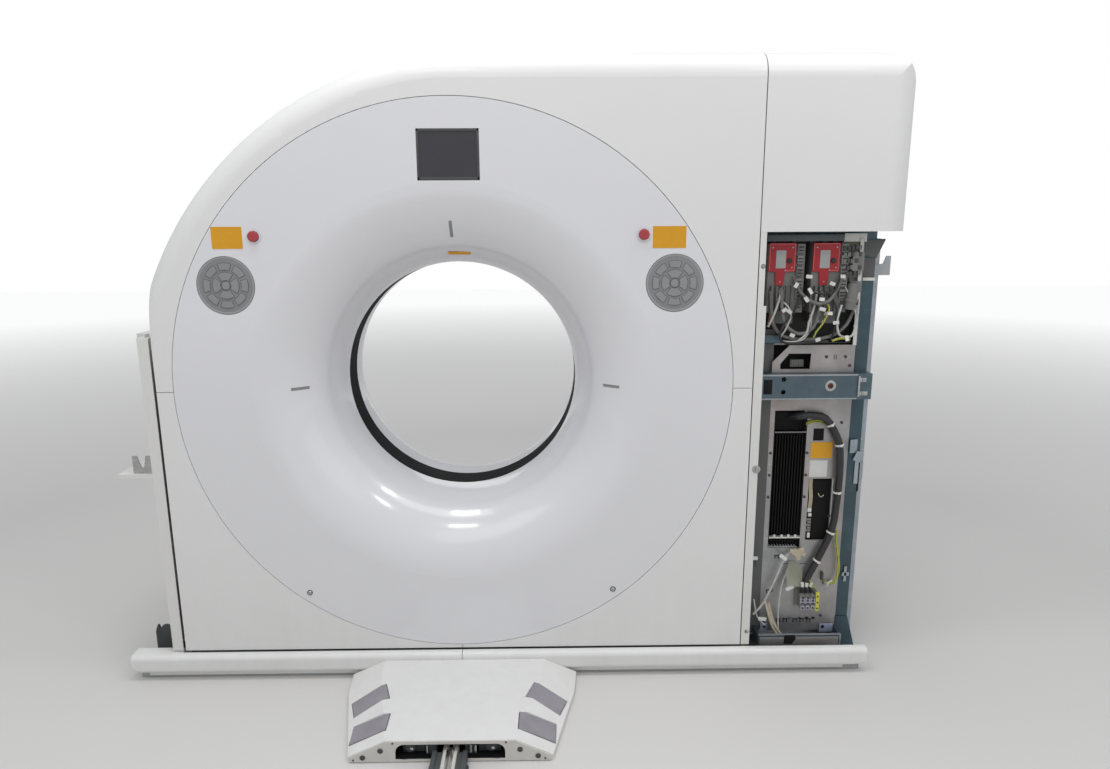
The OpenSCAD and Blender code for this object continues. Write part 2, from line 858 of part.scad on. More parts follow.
// Length of each end of the skirt and the radius that rounds its lower corner
skirt_left_end = [43, 43];
skirt_right_end = [66, 110];

// Solid end of a skirt whose lower corner sweeps up
module skirt_end(x1, l, r) {
    difference() {
        along_x(x1 - l, x1) {
            skirt_2d(0, skirt_back_y);
            translate([skirt_back_y - 4, 8]) square([4, skirt_top - 8]);
        }
        along_y(skirt_back_y - 60, skirt_back_y + 1) difference() {
            translate([x1 - l, 7]) square([l + 1, skirt_low + r - 7]);
            translate([x1 - l, skirt_low + r]) circle(r);
            translate([x1 - l - 1, 7]) square([2, r]);
        }
    }
}

module front_skirts() {
    color(white) {
        for (half = [[skirt_left_end[0] - skirt_left - eps, -seam / 2],
            [seam / 2, skirt_right - skirt_right_end[0] + eps]])
            along_x(half[0], half[1]) {
                difference() {
                    skirt_2d(0, skirt_back_y);
                    skirt_2d(cover_t, skirt_back_y + 1);
                }
                translate([skirt_back_y - 4, 8]) square([4, skirt_top - 8]);
            }
        for (end = [[-1, skirt_left, skirt_left_end], [1, skirt_right, skirt_right_end]])
            mirror([end[0] < 0 ? 1 : 0, 0, 0]) skirt_end(end[1], end[2][0], end[2][1]);
        box(-skirt_left, -left_w - 8, skirt_back_y - eps, skirt_back_y + ledge_d,
            skirt_top - ledge_t, skirt_top);
    }
}

module rear_skirt() {
    wall = 4;
    top = skirt_top - 4;
    color(white) {
        box(-skirt_left, skirt_right, rear_d - wall, rear_d, 8, top);
        box(-skirt_left, skirt_right, base_back_y + 0.2, rear_d - wall + eps, 8, 14);
        for (x = [-skirt_left, skirt_right - wall])
            box(x, x + wall, 20, rear_d - wall + eps, 8, top - 16);
    }
}

strip_t = 3;

module post_strips() {
    left_x = -(left_w + 39);
    left_in = -(left_w + 8);
    step_z = post_h + 78;
    color(white) {
        difference() {
            union() {
                box(left_x, left_in, front_y, front_y + strip_t, skirt_top + 4, post_h - 4);
                box(left_x, left_x + strip_t, front_y, panel_y, skirt_top + 4, post_h - 4);
            }
            rod_x(front_y + 40, post_h - 30, 6, left_x - 1, left_x + strip_t + 1);
        }
        box(left_x, left_in, front_y, front_y + 34, post_h - 4 - eps, post_h - 1);
        box(left_x + 18, left_x + 21, front_y + 4, front_y + 30, post_h - 1 - eps, post_h + 9);
        difference() {
            union() {
                box(column_x, right_post_x, front_y, front_y + strip_t, skirt_top + 4, step_z);
                box(column_x, right_post_x - 8, front_y, front_y + strip_t, step_z - eps,
                    column_cover_z - 0.3);
                box(right_post_x - 8 - strip_t, right_post_x - 8, front_y, panel_y,
                    skirt_top + 4, column_cover_z - 0.3);
            }
            for (z = [126, 643]) rod_y(right_post_x - 9, z, 6, front_y - 1, front_y + strip_t + 1);
            rod_y(right_post_x - 14, post_h + 187, 6, front_y - 1, front_y + strip_t + 1);
        }
        box(right_post_x - 8 - eps, right_post_x + 12, panel_y - strip_t, panel_y - 0.1,
            skirt_top + 4, column_cover_z - 0.3);
    }
}

tray_z = 644;
tray_left = left_w + 137;

module tray_shelf() {
    color(white) difference() {
        box(-tray_left, -(left_w + 39), front_y, front_y + 230, tray_z - 12, tray_z);
        box(left_post_x, -left_w, panel_y, front_y + 231, tray_z - 13, tray_z + 1);
    }
}

module tray_yoke() {
    yoke_x = -(left_w + 96);
    yoke_w = 55;
    yoke_h = 53;
    yoke_y = front_y + 8;
    color(grey) {
        translate([0, yoke_y, 0]) along_y(0, 3) difference() {
            translate([yoke_x, tray_z]) square([yoke_w, yoke_h]);
            polygon([[yoke_x + 13, tray_z + yoke_h + 1], [yoke_x + 24, tray_z + 18],
                [yoke_x + 32, tray_z + 18], [yoke_x + 39, tray_z + yoke_h + 1]]);
        }
        box(yoke_x, yoke_x + yoke_w, yoke_y, yoke_y + 34, tray_z, tray_z + 3);
    }
}

// Two upright hinge plates on one foot, the outer one pointed and the inner one round-topped
module foot_brackets() {
    y = front_y + 75;
    plate = 8;
    x0 = -(left_w + 134);
    inner_x = x0 + 24;
    inner_w = 32;
    inner_h = 112;
    outer_w = 19;
    color([0.2, 0.27, 0.27]) {
        along_y(y, y + plate) {
            translate([inner_x, base_t]) square([inner_w, inner_h - base_t]);
            translate([inner_x + inner_w / 2, inner_h]) circle(inner_w / 2);
        }
        translate([x0, 0, 0]) along_y(y + plate + 6, y + 2 * plate + 6)
            polygon([[0, base_t], [0, 98], [4, 112], [8, 121], [12, 117], [outer_w, 90],
                [outer_w, base_t]]);
        box(x0, inner_x + inner_w, y, y + plate + 6, base_t, base_t + plate);
        box(x0, x0 + outer_w, y, y + 2 * plate + 6, base_t, base_t + plate);
    }
}

// Service column

post_x = column_right - 93;
post_w = 37;

module column_frame() {
    head_z = column_cover_z - 22;
    side_x = right_post_x;
    color(grey) {
        box(side_x, side_x + sheet_t, panel_y, panel_y + 90, post_h, head_z);
        box(side_x, side_x + 13, panel_y, panel_y + sheet_t, post_h, head_z);
        box(side_x, post_x + post_w, panel_y, panel_y + 90, head_z, column_cover_z + 20);
        box(column_x + cover_t, side_x + eps, panel_y, panel_y + 90, column_cover_z + 2,
            column_cover_z + 20);
        difference() {
            box(side_x + 36, post_x - 4, front_y + 28, panel_y, 58, 97);
            box(side_x + 36 + sheet_t, post_x - 4 - sheet_t, front_y + 28 + sheet_t, panel_y + 1,
                58 + sheet_t, 98);
        }
    }
}

module column_post() {
    color(zinc) {
        difference() {
            box(post_x, post_x + post_w, panel_y, panel_y + 60, base_t, column_cover_z - 22);
            box(post_x + 4, post_x + post_w - 4, panel_y + 4, panel_y + 56, base_t - 1,
                column_cover_z - 21);
        }
        along_y(panel_y - 4, panel_y) polygon([[post_x - 2, column_cover_z - 22],
            [post_x + post_w + 24, column_cover_z - 22], [post_x + post_w, column_cover_z - 74],
            [post_x, column_cover_z - 66]]);
        along_y(panel_y - 4, panel_y) polygon([[post_x - 2, base_t], [post_x + post_w + 30, base_t],
            [post_x + post_w, base_t + 110], [post_x, base_t + 110]]);
    }
}

module column_flange() {
    x = post_x + post_w;
    tab_z = shelf_z + 192;
    color([0.5, 0.56, 0.6]) {
        box(x, x + 34, panel_y + 50, panel_y + 50 + sheet_t, base_t, column_cover_z - 22);
        box(x + 34 - sheet_t, x + 34, panel_y + 50, panel_y + 80, base_t, column_cover_z - 22);
        along_y(panel_y + 47, panel_y + 50) polygon([[x + 20, tab_z], [x + 66, tab_z],
            [x + 66, tab_z + 56], [x + 52, tab_z + 56], [x + 44, tab_z + 34], [x + 20, tab_z + 30]]);
        box(x + 6, x + 34, panel_y + 47, panel_y + 50, 566, 618);
        box(x + 6, x + 9, panel_y + 12, panel_y + 47 + eps, 566, 618);
    }
}

module crossbar() {
    x0 = right_post_x + 14;
    x1 = post_x + post_w + 2;
    lip = 40;
    y0 = panel_y - lip;
    color(zinc) difference() {
        union() {
            box(x0, x1, y0, y0 + 4, crossbar_z, crossbar_z + crossbar_h);
            box(x0, x1, y0, panel_y, crossbar_z, crossbar_z + 4);
            box(x0, x1, y0, panel_y, crossbar_z + crossbar_h - 4, crossbar_z + crossbar_h);
            box(x1 - 26, x1, y0, panel_y, crossbar_z, crossbar_z + crossbar_h);
        }
        for (z = [23, 61]) rod_y(x0 + 63, crossbar_z + z, 7, y0 - 1, y0 + 5);
        rod_y(x0 + 200, crossbar_z + crossbar_h / 2 + 3, 9, y0 - 1, y0 + 5);
    }
}

panel_left = trunnion_end;
panel_bottom = 78;
// Left, right, lower and upper edges of the window over the fins
fin_window = [panel_left + 14, panel_left + 113, 358, 796];
// Left, right and top edges of the plate above the crossbar
mid_left = panel_left + 40;
mid_right = post_x - 6;
mid_top = crossbar_z + 154;

module equipment_panels() {
    y0 = panel_y;
    x0 = panel_left;
    bar_top = crossbar_z + crossbar_h;
    color(grey) {
        difference() {
            union() {
                box(panel_left, post_x, y0, y0 + sheet_t, panel_bottom, crossbar_z + crossbar_h);
                box(panel_left, panel_left + sheet_t, y0, y0 + 22, panel_bottom,
                    crossbar_z + crossbar_h);
            }
            box(fin_window[0], fin_window[1], y0 - 1, y0 + sheet_t + 1, fin_window[2],
                fin_window[3]);
            box(x0 + 129, x0 + 199, y0 - 1, y0 + sheet_t + 1, 383, 582);
            box(x0 + 133, x0 + 165, y0 - 1, y0 + sheet_t + 1, 702, 740);
            for (x = [68, 90, 122, 144, 166])
                box(x0 + x, x0 + x + 11, y0 - 1, y0 + sheet_t + 1, 112, 123);
            for (p = [[x0 + 41, 326], [x0 + 27, 208]])
                box(p[0], p[0] + 11, y0 - 1, y0 + sheet_t + 1, p[1], p[1] + 13);
        }
        along_y(y0 - 12, y0 - 12 + sheet_t) difference() {
            polygon([[x0 - 6, bar_top], [x0 - 6, mid_top - 47], [mid_left, mid_top],
                [mid_right, mid_top], [mid_right, bar_top]]);
            translate([x0, mid_top])
                polygon([[18, -68], [18, -52], [42, -22], [107, -22], [105, -68]]);
        }
        box(x0 - 6, mid_right, y0 - 12, y0, bar_top, bar_top + sheet_t);
        box(mid_left, mid_right, y0 - 12, y0 + 30, mid_top - eps, mid_top + sheet_t);
    }
}

bay_x0 = right_post_x + sheet_t;
bay_back_y = panel_y + 60;

module drive_bay() {
    color([0.24, 0.24, 0.26]) {
        difference() {
            union() {
                box(bay_x0, post_x, bay_back_y, bay_back_y + sheet_t, shelf_z, column_cover_z - 22);
                box(bay_x0 + 12, post_x, panel_y - 10, bay_back_y + eps, shelf_z, shelf_z + sheet_t);
            }
            box(right_post_x, trunnion_end + 0.2, panel_y, bay_back_y + 10, shelf_z - 1, post_h + 0.2);
        }
        box(mid_left, mid_right, panel_y + 27, panel_y + 30, mid_top + sheet_t - eps,
            shelf_z + eps);
    }
}

drive_x = [panel_left - 37, panel_left + 88];
drive_front_y = front_y + 60;

module drive_bodies() {
    z0 = shelf_z + 92;
    z1 = shelf_z + 286;
    color([0.42, 0.42, 0.42]) for (x = drive_x) {
        difference() {
            box(x, x + 104, drive_front_y + 6, bay_back_y, z0, z1);
            for (k = [0:3]) box(x + 80, x + 105, drive_front_y + 22 + k * 26,
                drive_front_y + 32 + k * 26, z0 + 8, z1 + 1);
        }
        box(x + 20, x + 90, drive_front_y + 40, bay_back_y, z0 - 36, z0 + eps);
    }
}

module drive_fronts() {
    low = shelf_z + 208;
    high = low + 80;
    tip = low - 38;
    color([0.62, 0.1, 0.13]) for (x = drive_x)
        along_y(drive_front_y, drive_front_y + 6)
            polygon([[x, low], [x, high], [x + 76, high], [x + 76, low], [x + 48, low],
                [x + 44, tip], [x + 22, tip], [x + 20, low]]);
}

module connectors() {
    term_y = panel_y - 34;
    x0 = panel_left + 106;
    x1 = post_x - 41;
    z1 = shelf_z + 120;
    color([0.5, 0.5, 0.5]) {
        for (k = [0:2]) {
            box(x0 + 8 + k * 16, x0 + 22 + k * 16, term_y, panel_y, 172, 214);
        }
        box(x0, x0 + 66, panel_y - 6, panel_y, 166, 220);
        box(x0 + 56, x0 + 66, term_y, panel_y, 168, 218);
        box(x1, x1 + 38, panel_y - 14, bay_back_y, z1, z1 + 165);
        box(x1, x1 + 32, panel_y - 30, panel_y - 14 + eps, z1 + 30, z1 + 60);
        box(x1, x1 + 32, panel_y - 34, panel_y - 14 + eps, z1 + 90, z1 + 142);
    }
}

module fin_module() {
    y0 = panel_y + sheet_t + 1;
    x0 = fin_window[0] - 8;
    x1 = fin_window[1] + 8;
    z0 = fin_window[2] - 8;
    z1 = z0 + 378;
    fin_pitch = 8.6;
    color(dark) {
        box(x0, x1, y0 + 46, y0 + 90, z0, z1);
        for (k = [0:11]) box(x0 + 9 + k * fin_pitch, x0 + 12 + k * fin_pitch, y0 - 2,
            y0 + 46 + eps, z0 + 12, z1 - 6);
        box(x0, x0 + 7, y0 - 1, y0 + 46 + eps, z0, z1);
        box(x1 - 7, x1, y0 - 1, y0 + 46 + eps, z0, z1);
        box(x0, x1, y0 + 3, y0 + 8, z0 + 26, z0 + 34);
    }
}

// Cables

// Unit vector along a route at point i
function route_dir(p, i) =
    let (a = p[max(0, i - 1)], b = p[min(len(p) - 1, i + 1)], d = b - a) d / norm(d);

// Sweeps a round cable of radius r along a route of points
module cable(p, r, sides = 8) {
    n = len(p);
    rings = [for (i = [0:n - 1]) let (t = route_dir(p, i), u = cross(t, [0, 1, 0.05]),
        v = u / norm(u), w = cross(t, v))
        for (k = [0:sides - 1]) p[i] + r * cos(360 * k / sides) * v + r * sin(360 * k / sides) * w];
    walls = [for (i = [0:n - 2], k = [0:sides - 1]) let (m = (k + 1) % sides)
        [i * sides + k, (i + 1) * sides + k, (i + 1) * sides + m, i * sides + m]];
    polyhedron(rings, concat([[for (k = [0:sides - 1]) k]], walls,
        [[for (k = [sides - 1:-1:0]) (n - 1) * sides + k]]));
}

// A smooth curve through hand-set points, with steps between each pair
function spline(p, steps) = concat([for (i = [0:len(p) - 2], k = [0:steps - 1])
    let (a = p[max(0, i - 1)], b = p[i], c = p[i + 1], d = p[min(len(p) - 1, i + 2)], t = k / steps)
    0.5 * (2 * b + (c - a) * t + (2 * a - 5 * b + 4 * c - d) * t * t
        + (3 * b - a - 3 * c + d) * t * t * t)], [p[len(p) - 1]]);

// The routes on the panel are measured from its left edge.
cable_y = front_y + 72;
harness_route = [[56, panel_y + 74, 733.2], [56, panel_y + 74, 745], [62, panel_y + 36, 766],
    [82, cable_y + 8, 780], [106, cable_y, 786],
    [147, cable_y, 782], [172, cable_y, 762], [204, cable_y, 705], [213, cable_y, 640],
    [214, cable_y, 564], [210, cable_y, 487], [202, cable_y, 420], [167, cable_y, 331],
    [140, cable_y, 272], [134, cable_y, 244]];
earth_route = [[217, cable_y, 421], [220, cable_y, 384], [230, cable_y, 330],
    [232, cable_y, 285], [222, cable_y, 250], [202, cable_y + 12, 238]];

module harness() {
    color(dark) translate([panel_left, 0, 0]) {
        cable(spline(harness_route, 2), harness_r);
        for (k = [0:2]) cable([[121 + k * 16, cable_y + 4, 214.2],
            [121 + k * 14, cable_y + 2, 230], [126 + k * 8, cable_y, 243]], 4);
    }
}

module earth_cable() {
    color([0.65, 0.68, 0.2]) translate([panel_left, 0, 0]) {
        cable(spline(earth_route, 2), earth_r);
        rod_y(202, 238, 8, cable_y + 8, panel_y);
    }
}

// The routes in the bay are measured from the panel's left edge and from the bay's floor.
bay_y = drive_front_y - 10;
plug_y = drive_front_y + 5.4;
bay_routes = [
    [[2, plug_y, 160], [2, bay_y + 2, 156], [4, bay_y, 110], [17, bay_y, 60],
        [57, bay_y + 2, 32], [98, bay_y + 2, 50], [112, bay_y + 2, 100],
        [118, bay_y + 4, 144], [118, plug_y, 150]],
    [[-28, plug_y, 150], [-28, bay_y + 4, 146], [-22, bay_y + 8, 90], [-10, bay_y + 10, 50],
        [22, bay_y + 12, 22], [82, bay_y + 14, 14], [152, bay_y + 14, 22],
        [198, bay_y + 14, 56], [218, bay_y + 18, 106], [220, bay_y + 18, 138],
        [220, bay_y + 18, 149.5]],
    [[38, plug_y, 190], [38, bay_y + 4, 186], [56, bay_y, 150], [92, bay_y - 10, 122],
        [132, bay_y - 10, 126], [160, bay_y + 2, 162], [172, bay_y + 4, 192],
        [172, plug_y, 196]]];

module bay_cables() {
    color([0.3, 0.3, 0.3]) translate([panel_left, 0, shelf_z])
        for (r = bay_routes) cable(spline(r, 3), 5);
}

// Column covers

module column_top_cover() {
    corner = 123;
    side_roll = 70;
    depth = rear_d + front_d;
    z0 = column_cover_z;
    module solid(inset) {
        w = column_right - column_x - 2 * inset;
        h = top_z - z0 - inset;
        d = depth - 2 * inset;
        translate([column_x + inset, front_y + inset, z0]) intersection() {
            translate([0, d, 0]) rotate([90, 0, 0]) linear_extrude(d)
                rolled_2d(w, h, corner - inset);
            rotate([90, 0, 90]) linear_extrude(w) {
                translate([d / 2 - eps, 0]) rolled_2d(d / 2, h, roll_r - inset);
                translate([d / 2, 0]) mirror([1, 0]) rolled_2d(d / 2, h, roll_r - inset);
            }
            linear_extrude(h) {
                translate([0, d / 2 - eps]) rolled_2d(w, d / 2, side_roll - inset);
                translate([0, d / 2]) mirror([0, 1]) rolled_2d(w, d / 2, side_roll - inset);
            }
        }
    }
    color(white) difference() {
        solid(0);
        translate([0, 0, -1]) solid(cover_t);
        box(column_x + cover_t, column_right - 40, front_y + 40, rear_d - 40, z0 - 1, z0 + 9);
    }
}

module column_rear_cover() {
    color(white) {
        box(column_x, column_right - 30, rear_d - cover_t, rear_d, skirt_top - 3.7,
            column_cover_z - 0.3);
        for (x = [column_x, column_right - 34])
            box(x, x + 4, rear_d - 54, rear_d - cover_t + eps, skirt_top - 3.7, column_cover_z - 0.3);
    }
}

// Pedal cover

pedal_mid = 8;
pedal_front_y = front_y - skirt_out - 1 - pedal_len;
pedal_back_y = front_y - skirt_out - 0.4;

// Hinge points of the four pedals, with the way each one slopes down
pedal_rear = [[-195, front_y - 184], 199];
pedal_front = [[-168, front_y - 319], 181];
hinge_z = pedal_top - 4;
pin_r = 3;
// A pedal's thickness, how far it reaches under its hinge and how far behind it
pedal_t = 8;
pedal_under = 3;
pedal_heel = 4;

// Places a pedal's own frame at its hinge, X running down the slope
module at_pedal(p, side) {
    translate([pedal_mid, 0, 0]) mirror([side > 0 ? 1 : 0, 0, 0])
        translate([p[0][0] - pedal_mid, p[0][1], hinge_z]) rotate([0, 0, p[1]])
            rotate([0, pedal_slope, 0]) children();
}

module pedal(p, side) {
    color([0.52, 0.52, 0.55]) at_pedal(p, side) {
        translate([-pedal_heel, -pedal_w / 2, -pedal_under])
            cube([pedal_l + pedal_heel, pedal_w, pedal_t]);
        translate([0, pedal_w / 2 + 5, 0]) rotate([90, 0, 0]) cylinder(r = pin_r, h = pedal_w + 10);
    }
}

// Room for a pedal, its floor falling away to where the pressed pedal comes
module pedal_pocket(p, side) {
    under = pedal_under + 1;
    heel = pedal_heel + 2;
    reach = pedal_l + 2;
    fall = reach * sin(pedal_press + 0.7);
    at_pedal(p, side) {
        translate([0, pedal_w / 2 + 1, 0]) rotate([90, 0, 0]) linear_extrude(pedal_w + 2)
            polygon([[-heel, -under], [0, -under], [reach, -under - fall], [reach, 30],
                [-heel, 30]]);
        translate([0, pedal_w / 2 + 5.4, 0]) rotate([90, 0, 0])
            cylinder(r = pin_r + run_fit, h = pedal_w + 10.8);
    }
}

module pedal_outline(low) {
    back = pedal_back_y;
    front = pedal_front_y;
    side = low ? [336, 327, 262] : [238, 232, 166];
    polygon([[-side[0], back], [side[0], back], [side[1], back - 95], [side[2], front],
        [-side[2], front], [-side[1], back - 95]]);
}

module pedal_cover() {
    wing_z = 16;
    cavity_d = 70;
    color(white) difference() {
        translate([pedal_mid, 0, 0]) hull() {
            linear_extrude(wing_z) pedal_outline(true);
            translate([0, 0, wing_z]) linear_extrude(pedal_top - wing_z) pedal_outline(false);
        }
        for (side = [-1, 1]) {
            pedal_pocket(pedal_rear, side);
            pedal_pocket(pedal_front, side);
        }
        translate([pedal_mid, pedal_front_y - 1, 0]) rotate([90, 0, 0]) mirror([0, 0, 1])
            linear_extrude(cavity_d) cavity_2d();
    }
}

// Long opening in the front of the pedal cover, its upper corners rounded
module cavity_2d() {
    half_w = 140;
    low = 9;
    high = 51;
    r = 22;
    for (x = [r - half_w, half_w - r]) translate([x, high - r]) circle(r);
    translate([-half_w, low]) square([2 * half_w, high - r - low]);
    translate([r - half_w, high - r - eps]) square([2 * (half_w - r), r + eps]);
}

module pedal_end_plate() {
    rail_l = 110;
    y1 = pedal_front_y - 0.2;
    color(grey) {
        translate([pedal_mid, 0, 0]) along_y(y1 - 3, y1) difference() {
            polygon([[-258, 2], [258, 2], [258, 14], [165, pedal_top - 1], [-165, pedal_top - 1],
                [-258, 14]]);
            cavity_2d();
            for (x = [-224, -178, 178, 224]) translate([x, abs(x) > 200 ? 15 : 34]) circle(5);
        }
        translate([pedal_mid, 0, 0]) {
            box(-44, 44, y1 - 3 - rail_l, y1 - 3 + eps, 0, 6);
            for (x = [-44, 34]) box(x, x + 10, y1 - 3 - rail_l, y1 - 3 + eps, 6 - eps, 34);
            for (x = [-12, 12]) rod_y(x, 25, 8, y1 - 3 - rail_l, y1 + 40);
            box(-20, 20, y1 - 3 - rail_l, y1 + 30, 12, 17.2);
            box(-20, 20, y1 - 3 - rail_l, y1, 6 - eps, 12 + eps);
        }
    }
}

base_plate();
foot_beams();
front_skirts();
rear_skirt();
post_left();
post_right();
trunnion_bearings();
post_strips();
tray_shelf();
tray_yoke();
foot_brackets();
column_frame();
column_post();
column_flange();
crossbar();
equipment_panels();
drive_bay();
drive_bodies();
drive_fronts();
connectors();
fin_module();
harness();
earth_cable();
bay_cables();
column_top_cover();
column_rear_cover();
tilt_motor();
tilt_pinion();
pedal_cover();
pedal_end_plate();
pedal(pedal_rear, -1);  // pedal_left_rear
pedal(pedal_front, -1);  // pedal_left_front
pedal(pedal_rear, 1);  // pedal_right_rear
pedal(pedal_front, 1);  // pedal_right_front
cover_upper();
cover_lower_left();
cover_lower_right();
funnel_front();
cover_rear();
bore_window();
shell_top();
side_panels();
shell_pan();
tilt_frame();
bearing_outer();
display_screen();
control_pads();
stop_bezels();
laser_windows();
drive_motor();
drive_belt();
tilt_sector();
stop_button(-1);  // stop_button_left
stop_button(1);  // stop_button_right
motor_pulley();
rotor_drum();
bearing_inner();
tube_assembly();
detector_arc();
power_units();
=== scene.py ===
"""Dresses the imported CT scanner: materials, fittings, wiring, soft studio light and camera.

Everything is in metres in the frame of the model: X to the right, Y into the machine, Z up,
with the origin on the floor under the middle of the bore.
"""

import json
import math
import random

import bmesh
import bpy
from mathutils import Matrix, Vector

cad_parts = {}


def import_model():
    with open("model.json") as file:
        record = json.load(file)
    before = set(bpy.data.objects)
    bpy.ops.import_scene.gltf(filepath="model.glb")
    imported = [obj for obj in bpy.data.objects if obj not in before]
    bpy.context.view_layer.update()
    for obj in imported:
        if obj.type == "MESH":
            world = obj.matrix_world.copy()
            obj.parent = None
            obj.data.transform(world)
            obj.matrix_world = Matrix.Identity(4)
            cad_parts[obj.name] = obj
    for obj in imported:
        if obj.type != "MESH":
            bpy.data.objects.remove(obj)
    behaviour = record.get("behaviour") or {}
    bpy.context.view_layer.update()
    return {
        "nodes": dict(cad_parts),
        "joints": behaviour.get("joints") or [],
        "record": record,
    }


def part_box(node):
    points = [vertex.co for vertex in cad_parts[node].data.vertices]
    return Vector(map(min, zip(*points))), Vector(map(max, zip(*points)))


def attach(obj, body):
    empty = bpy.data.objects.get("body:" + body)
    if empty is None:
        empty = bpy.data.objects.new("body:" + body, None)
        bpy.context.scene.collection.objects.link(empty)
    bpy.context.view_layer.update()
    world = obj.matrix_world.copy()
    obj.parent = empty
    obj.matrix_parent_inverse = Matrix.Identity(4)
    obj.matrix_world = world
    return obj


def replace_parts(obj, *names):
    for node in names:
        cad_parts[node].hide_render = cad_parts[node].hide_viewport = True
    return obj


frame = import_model()
nodes = frame["nodes"]

random.seed(7)

AXIS_Z = next(j for j in frame["joints"] if j["name"] == "gantry_tilt")["pos_m"][2]
FRONT_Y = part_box("funnel_front")[0][1]
PANEL_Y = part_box("equipment_panels")[0][1] + 0.012
DRIVE_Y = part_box("drive_fronts")[0][1]

FORWARD = Vector((0, -1, 0))
UP = Vector((0, 0, 1))


# Camera, as fitted to the outlines of the photograph: pixels, millimetres of sensor, metres, radians

PHOTO_W = 1110
FOCAL_PX = 760
SENSOR = 36.0
CLIP_END = 60
EYE = Vector((0.25955, FRONT_Y - 2.10404, AXIS_Z + 0.45664))
YAW = 0.0118349
PITCH = 0.2070383
ROLL = -0.00513647


def camera_axes():
    """Right, up and forward of the camera."""
    level_ahead = Vector((math.sin(YAW), math.cos(YAW), 0))
    ahead = math.cos(PITCH) * level_ahead - math.sin(PITCH) * UP
    level = Vector((math.cos(YAW), -math.sin(YAW), 0))
    rise = level.cross(ahead)
    right = math.cos(ROLL) * level + math.sin(ROLL) * rise
    return right, right.cross(ahead), ahead


def add_camera():
    right, up, ahead = camera_axes()
    data = bpy.data.cameras.new("camera")
    data.sensor_width = SENSOR
    data.lens = FOCAL_PX / PHOTO_W * SENSOR
    data.clip_end = CLIP_END
    camera = bpy.data.objects.new("camera", data)
    turn = Matrix((right, up, -ahead)).transposed()
    camera.matrix_world = Matrix.Translation(EYE) @ turn.to_4x4()
    bpy.context.scene.collection.objects.link(camera)
    bpy.context.scene.camera = camera


# Materials

class Paint:
    """Grows the node tree of one material around a Principled shader."""

    def __init__(self, name, rough=0.5, metal=0.0, coat=0.0, specular=0.5):
        self.mat = bpy.data.materials.new(name)
        self.mat.use_nodes = True
        self.tree = self.mat.node_tree
        self.shader = self.tree.nodes["Principled BSDF"]
        self.shader.inputs["Roughness"].default_value = rough
        self.shader.inputs["Metallic"].default_value = metal
        self.shader.inputs["Coat Weight"].default_value = coat
        self.shader.inputs["Coat Roughness"].default_value = 0.08
        self.shader.inputs["Specular IOR Level"].default_value = specular
        self.place = self.node("ShaderNodeTexCoord").outputs["Object"]
        self.height = None

    def node(self, kind, **values):
        made = self.tree.nodes.new(kind)
        for key, value in values.items():
            setattr(made, key, value)
        return made

    def link(self, source, target):
        self.tree.links.new(source, target)

    def stretched(self, scale):
        """Object coordinates stretched by a scale for each axis."""
        mapping = self.node("ShaderNodeMapping")
        mapping.inputs["Scale"].default_value = scale
        self.link(self.place, mapping.inputs["Vector"])
        return mapping.outputs["Vector"]

    def noise(self, scale, detail=4.0, stretch=None, rough=0.55):
        made = self.node("ShaderNodeTexNoise")
        made.inputs["Scale"].default_value = scale
        made.inputs["Detail"].default_value = detail
        made.inputs["Roughness"].default_value = rough
        self.link(self.stretched(stretch) if stretch else self.place, made.inputs["Vector"])
        return made.outputs["Fac"]

    def cells(self, scale):
        """Distance to the nearest of scattered points."""
        made = self.node("ShaderNodeTexVoronoi")
        made.inputs["Scale"].default_value = scale
        self.link(self.place, made.inputs["Vector"])
        return made.outputs["Distance"]

    def ramp(self, fac, stops):
        """Colour ramp from (position, colour) stops."""
        made = self.node("ShaderNodeValToRGB")
        ramp = made.color_ramp
        while len(ramp.elements) < len(stops):
            ramp.elements.new(0.5)
        for element, (position, color) in zip(ramp.elements, stops):
            element.position = position
            element.color = (*color, 1)
        self.link(fac, made.inputs["Fac"])
        return made.outputs["Color"]

    def span(self, value, low, high, to_low=0.0, to_high=1.0):
        """Maps the range from low to high onto another, and clamps what lies outside."""
        made = self.node("ShaderNodeMapRange")
        ends = {"From Min": low, "From Max": high, "To Min": to_low, "To Max": to_high}
        for key, number in ends.items():
            made.inputs[key].default_value = number
        self.link(value, made.inputs["Value"])
        return made.outputs["Result"]

    def times(self, a, b):
        made = self.node("ShaderNodeMath", operation="MULTIPLY")
        self.link(a, made.inputs[0])
        self.link(b, made.inputs[1])
        return made.outputs["Value"]

    def blend(self, fac, a, b, mode="MIX"):
        """Mixes two colours, each a socket or a plain colour."""
        made = self.node("ShaderNodeMix", data_type="RGBA", blend_type=mode)
        sockets = [s for s in made.inputs if s.type == "RGBA"]
        for socket, value in zip(sockets, (a, b)):
            if isinstance(value, bpy.types.NodeSocket):
                self.link(value, socket)
            else:
                socket.default_value = (*value, 1)
        factor = [s for s in made.inputs if s.type == "VALUE"][0]
        if isinstance(fac, bpy.types.NodeSocket):
            self.link(fac, factor)
        else:
            factor.default_value = fac
        return [s for s in made.outputs if s.type == "RGBA"][0]

    def world_z(self):
        split = self.node("ShaderNodeSeparateXYZ")
        self.link(self.place, split.inputs[0])
        return split.outputs["Z"]

    def bump(self, height, strength, distance):
        """Adds a layer of bump over the layers already there."""
        made = self.node("ShaderNodeBump")
        made.inputs["Strength"].default_value = strength
        made.inputs["Distance"].default_value = distance
        self.link(height, made.inputs["Height"])
        if self.height:
            self.link(self.height, made.inputs["Normal"])
        self.height = made.outputs["Normal"]
        self.link(self.height, self.shader.inputs["Normal"])

    def color(self, value):
        if isinstance(value, bpy.types.NodeSocket):
            self.link(value, self.shader.inputs["Base Color"])
        else:
            self.shader.inputs["Base Color"].default_value = (*value, 1)

    def roughness(self, value):
        self.link(value, self.shader.inputs["Roughness"])


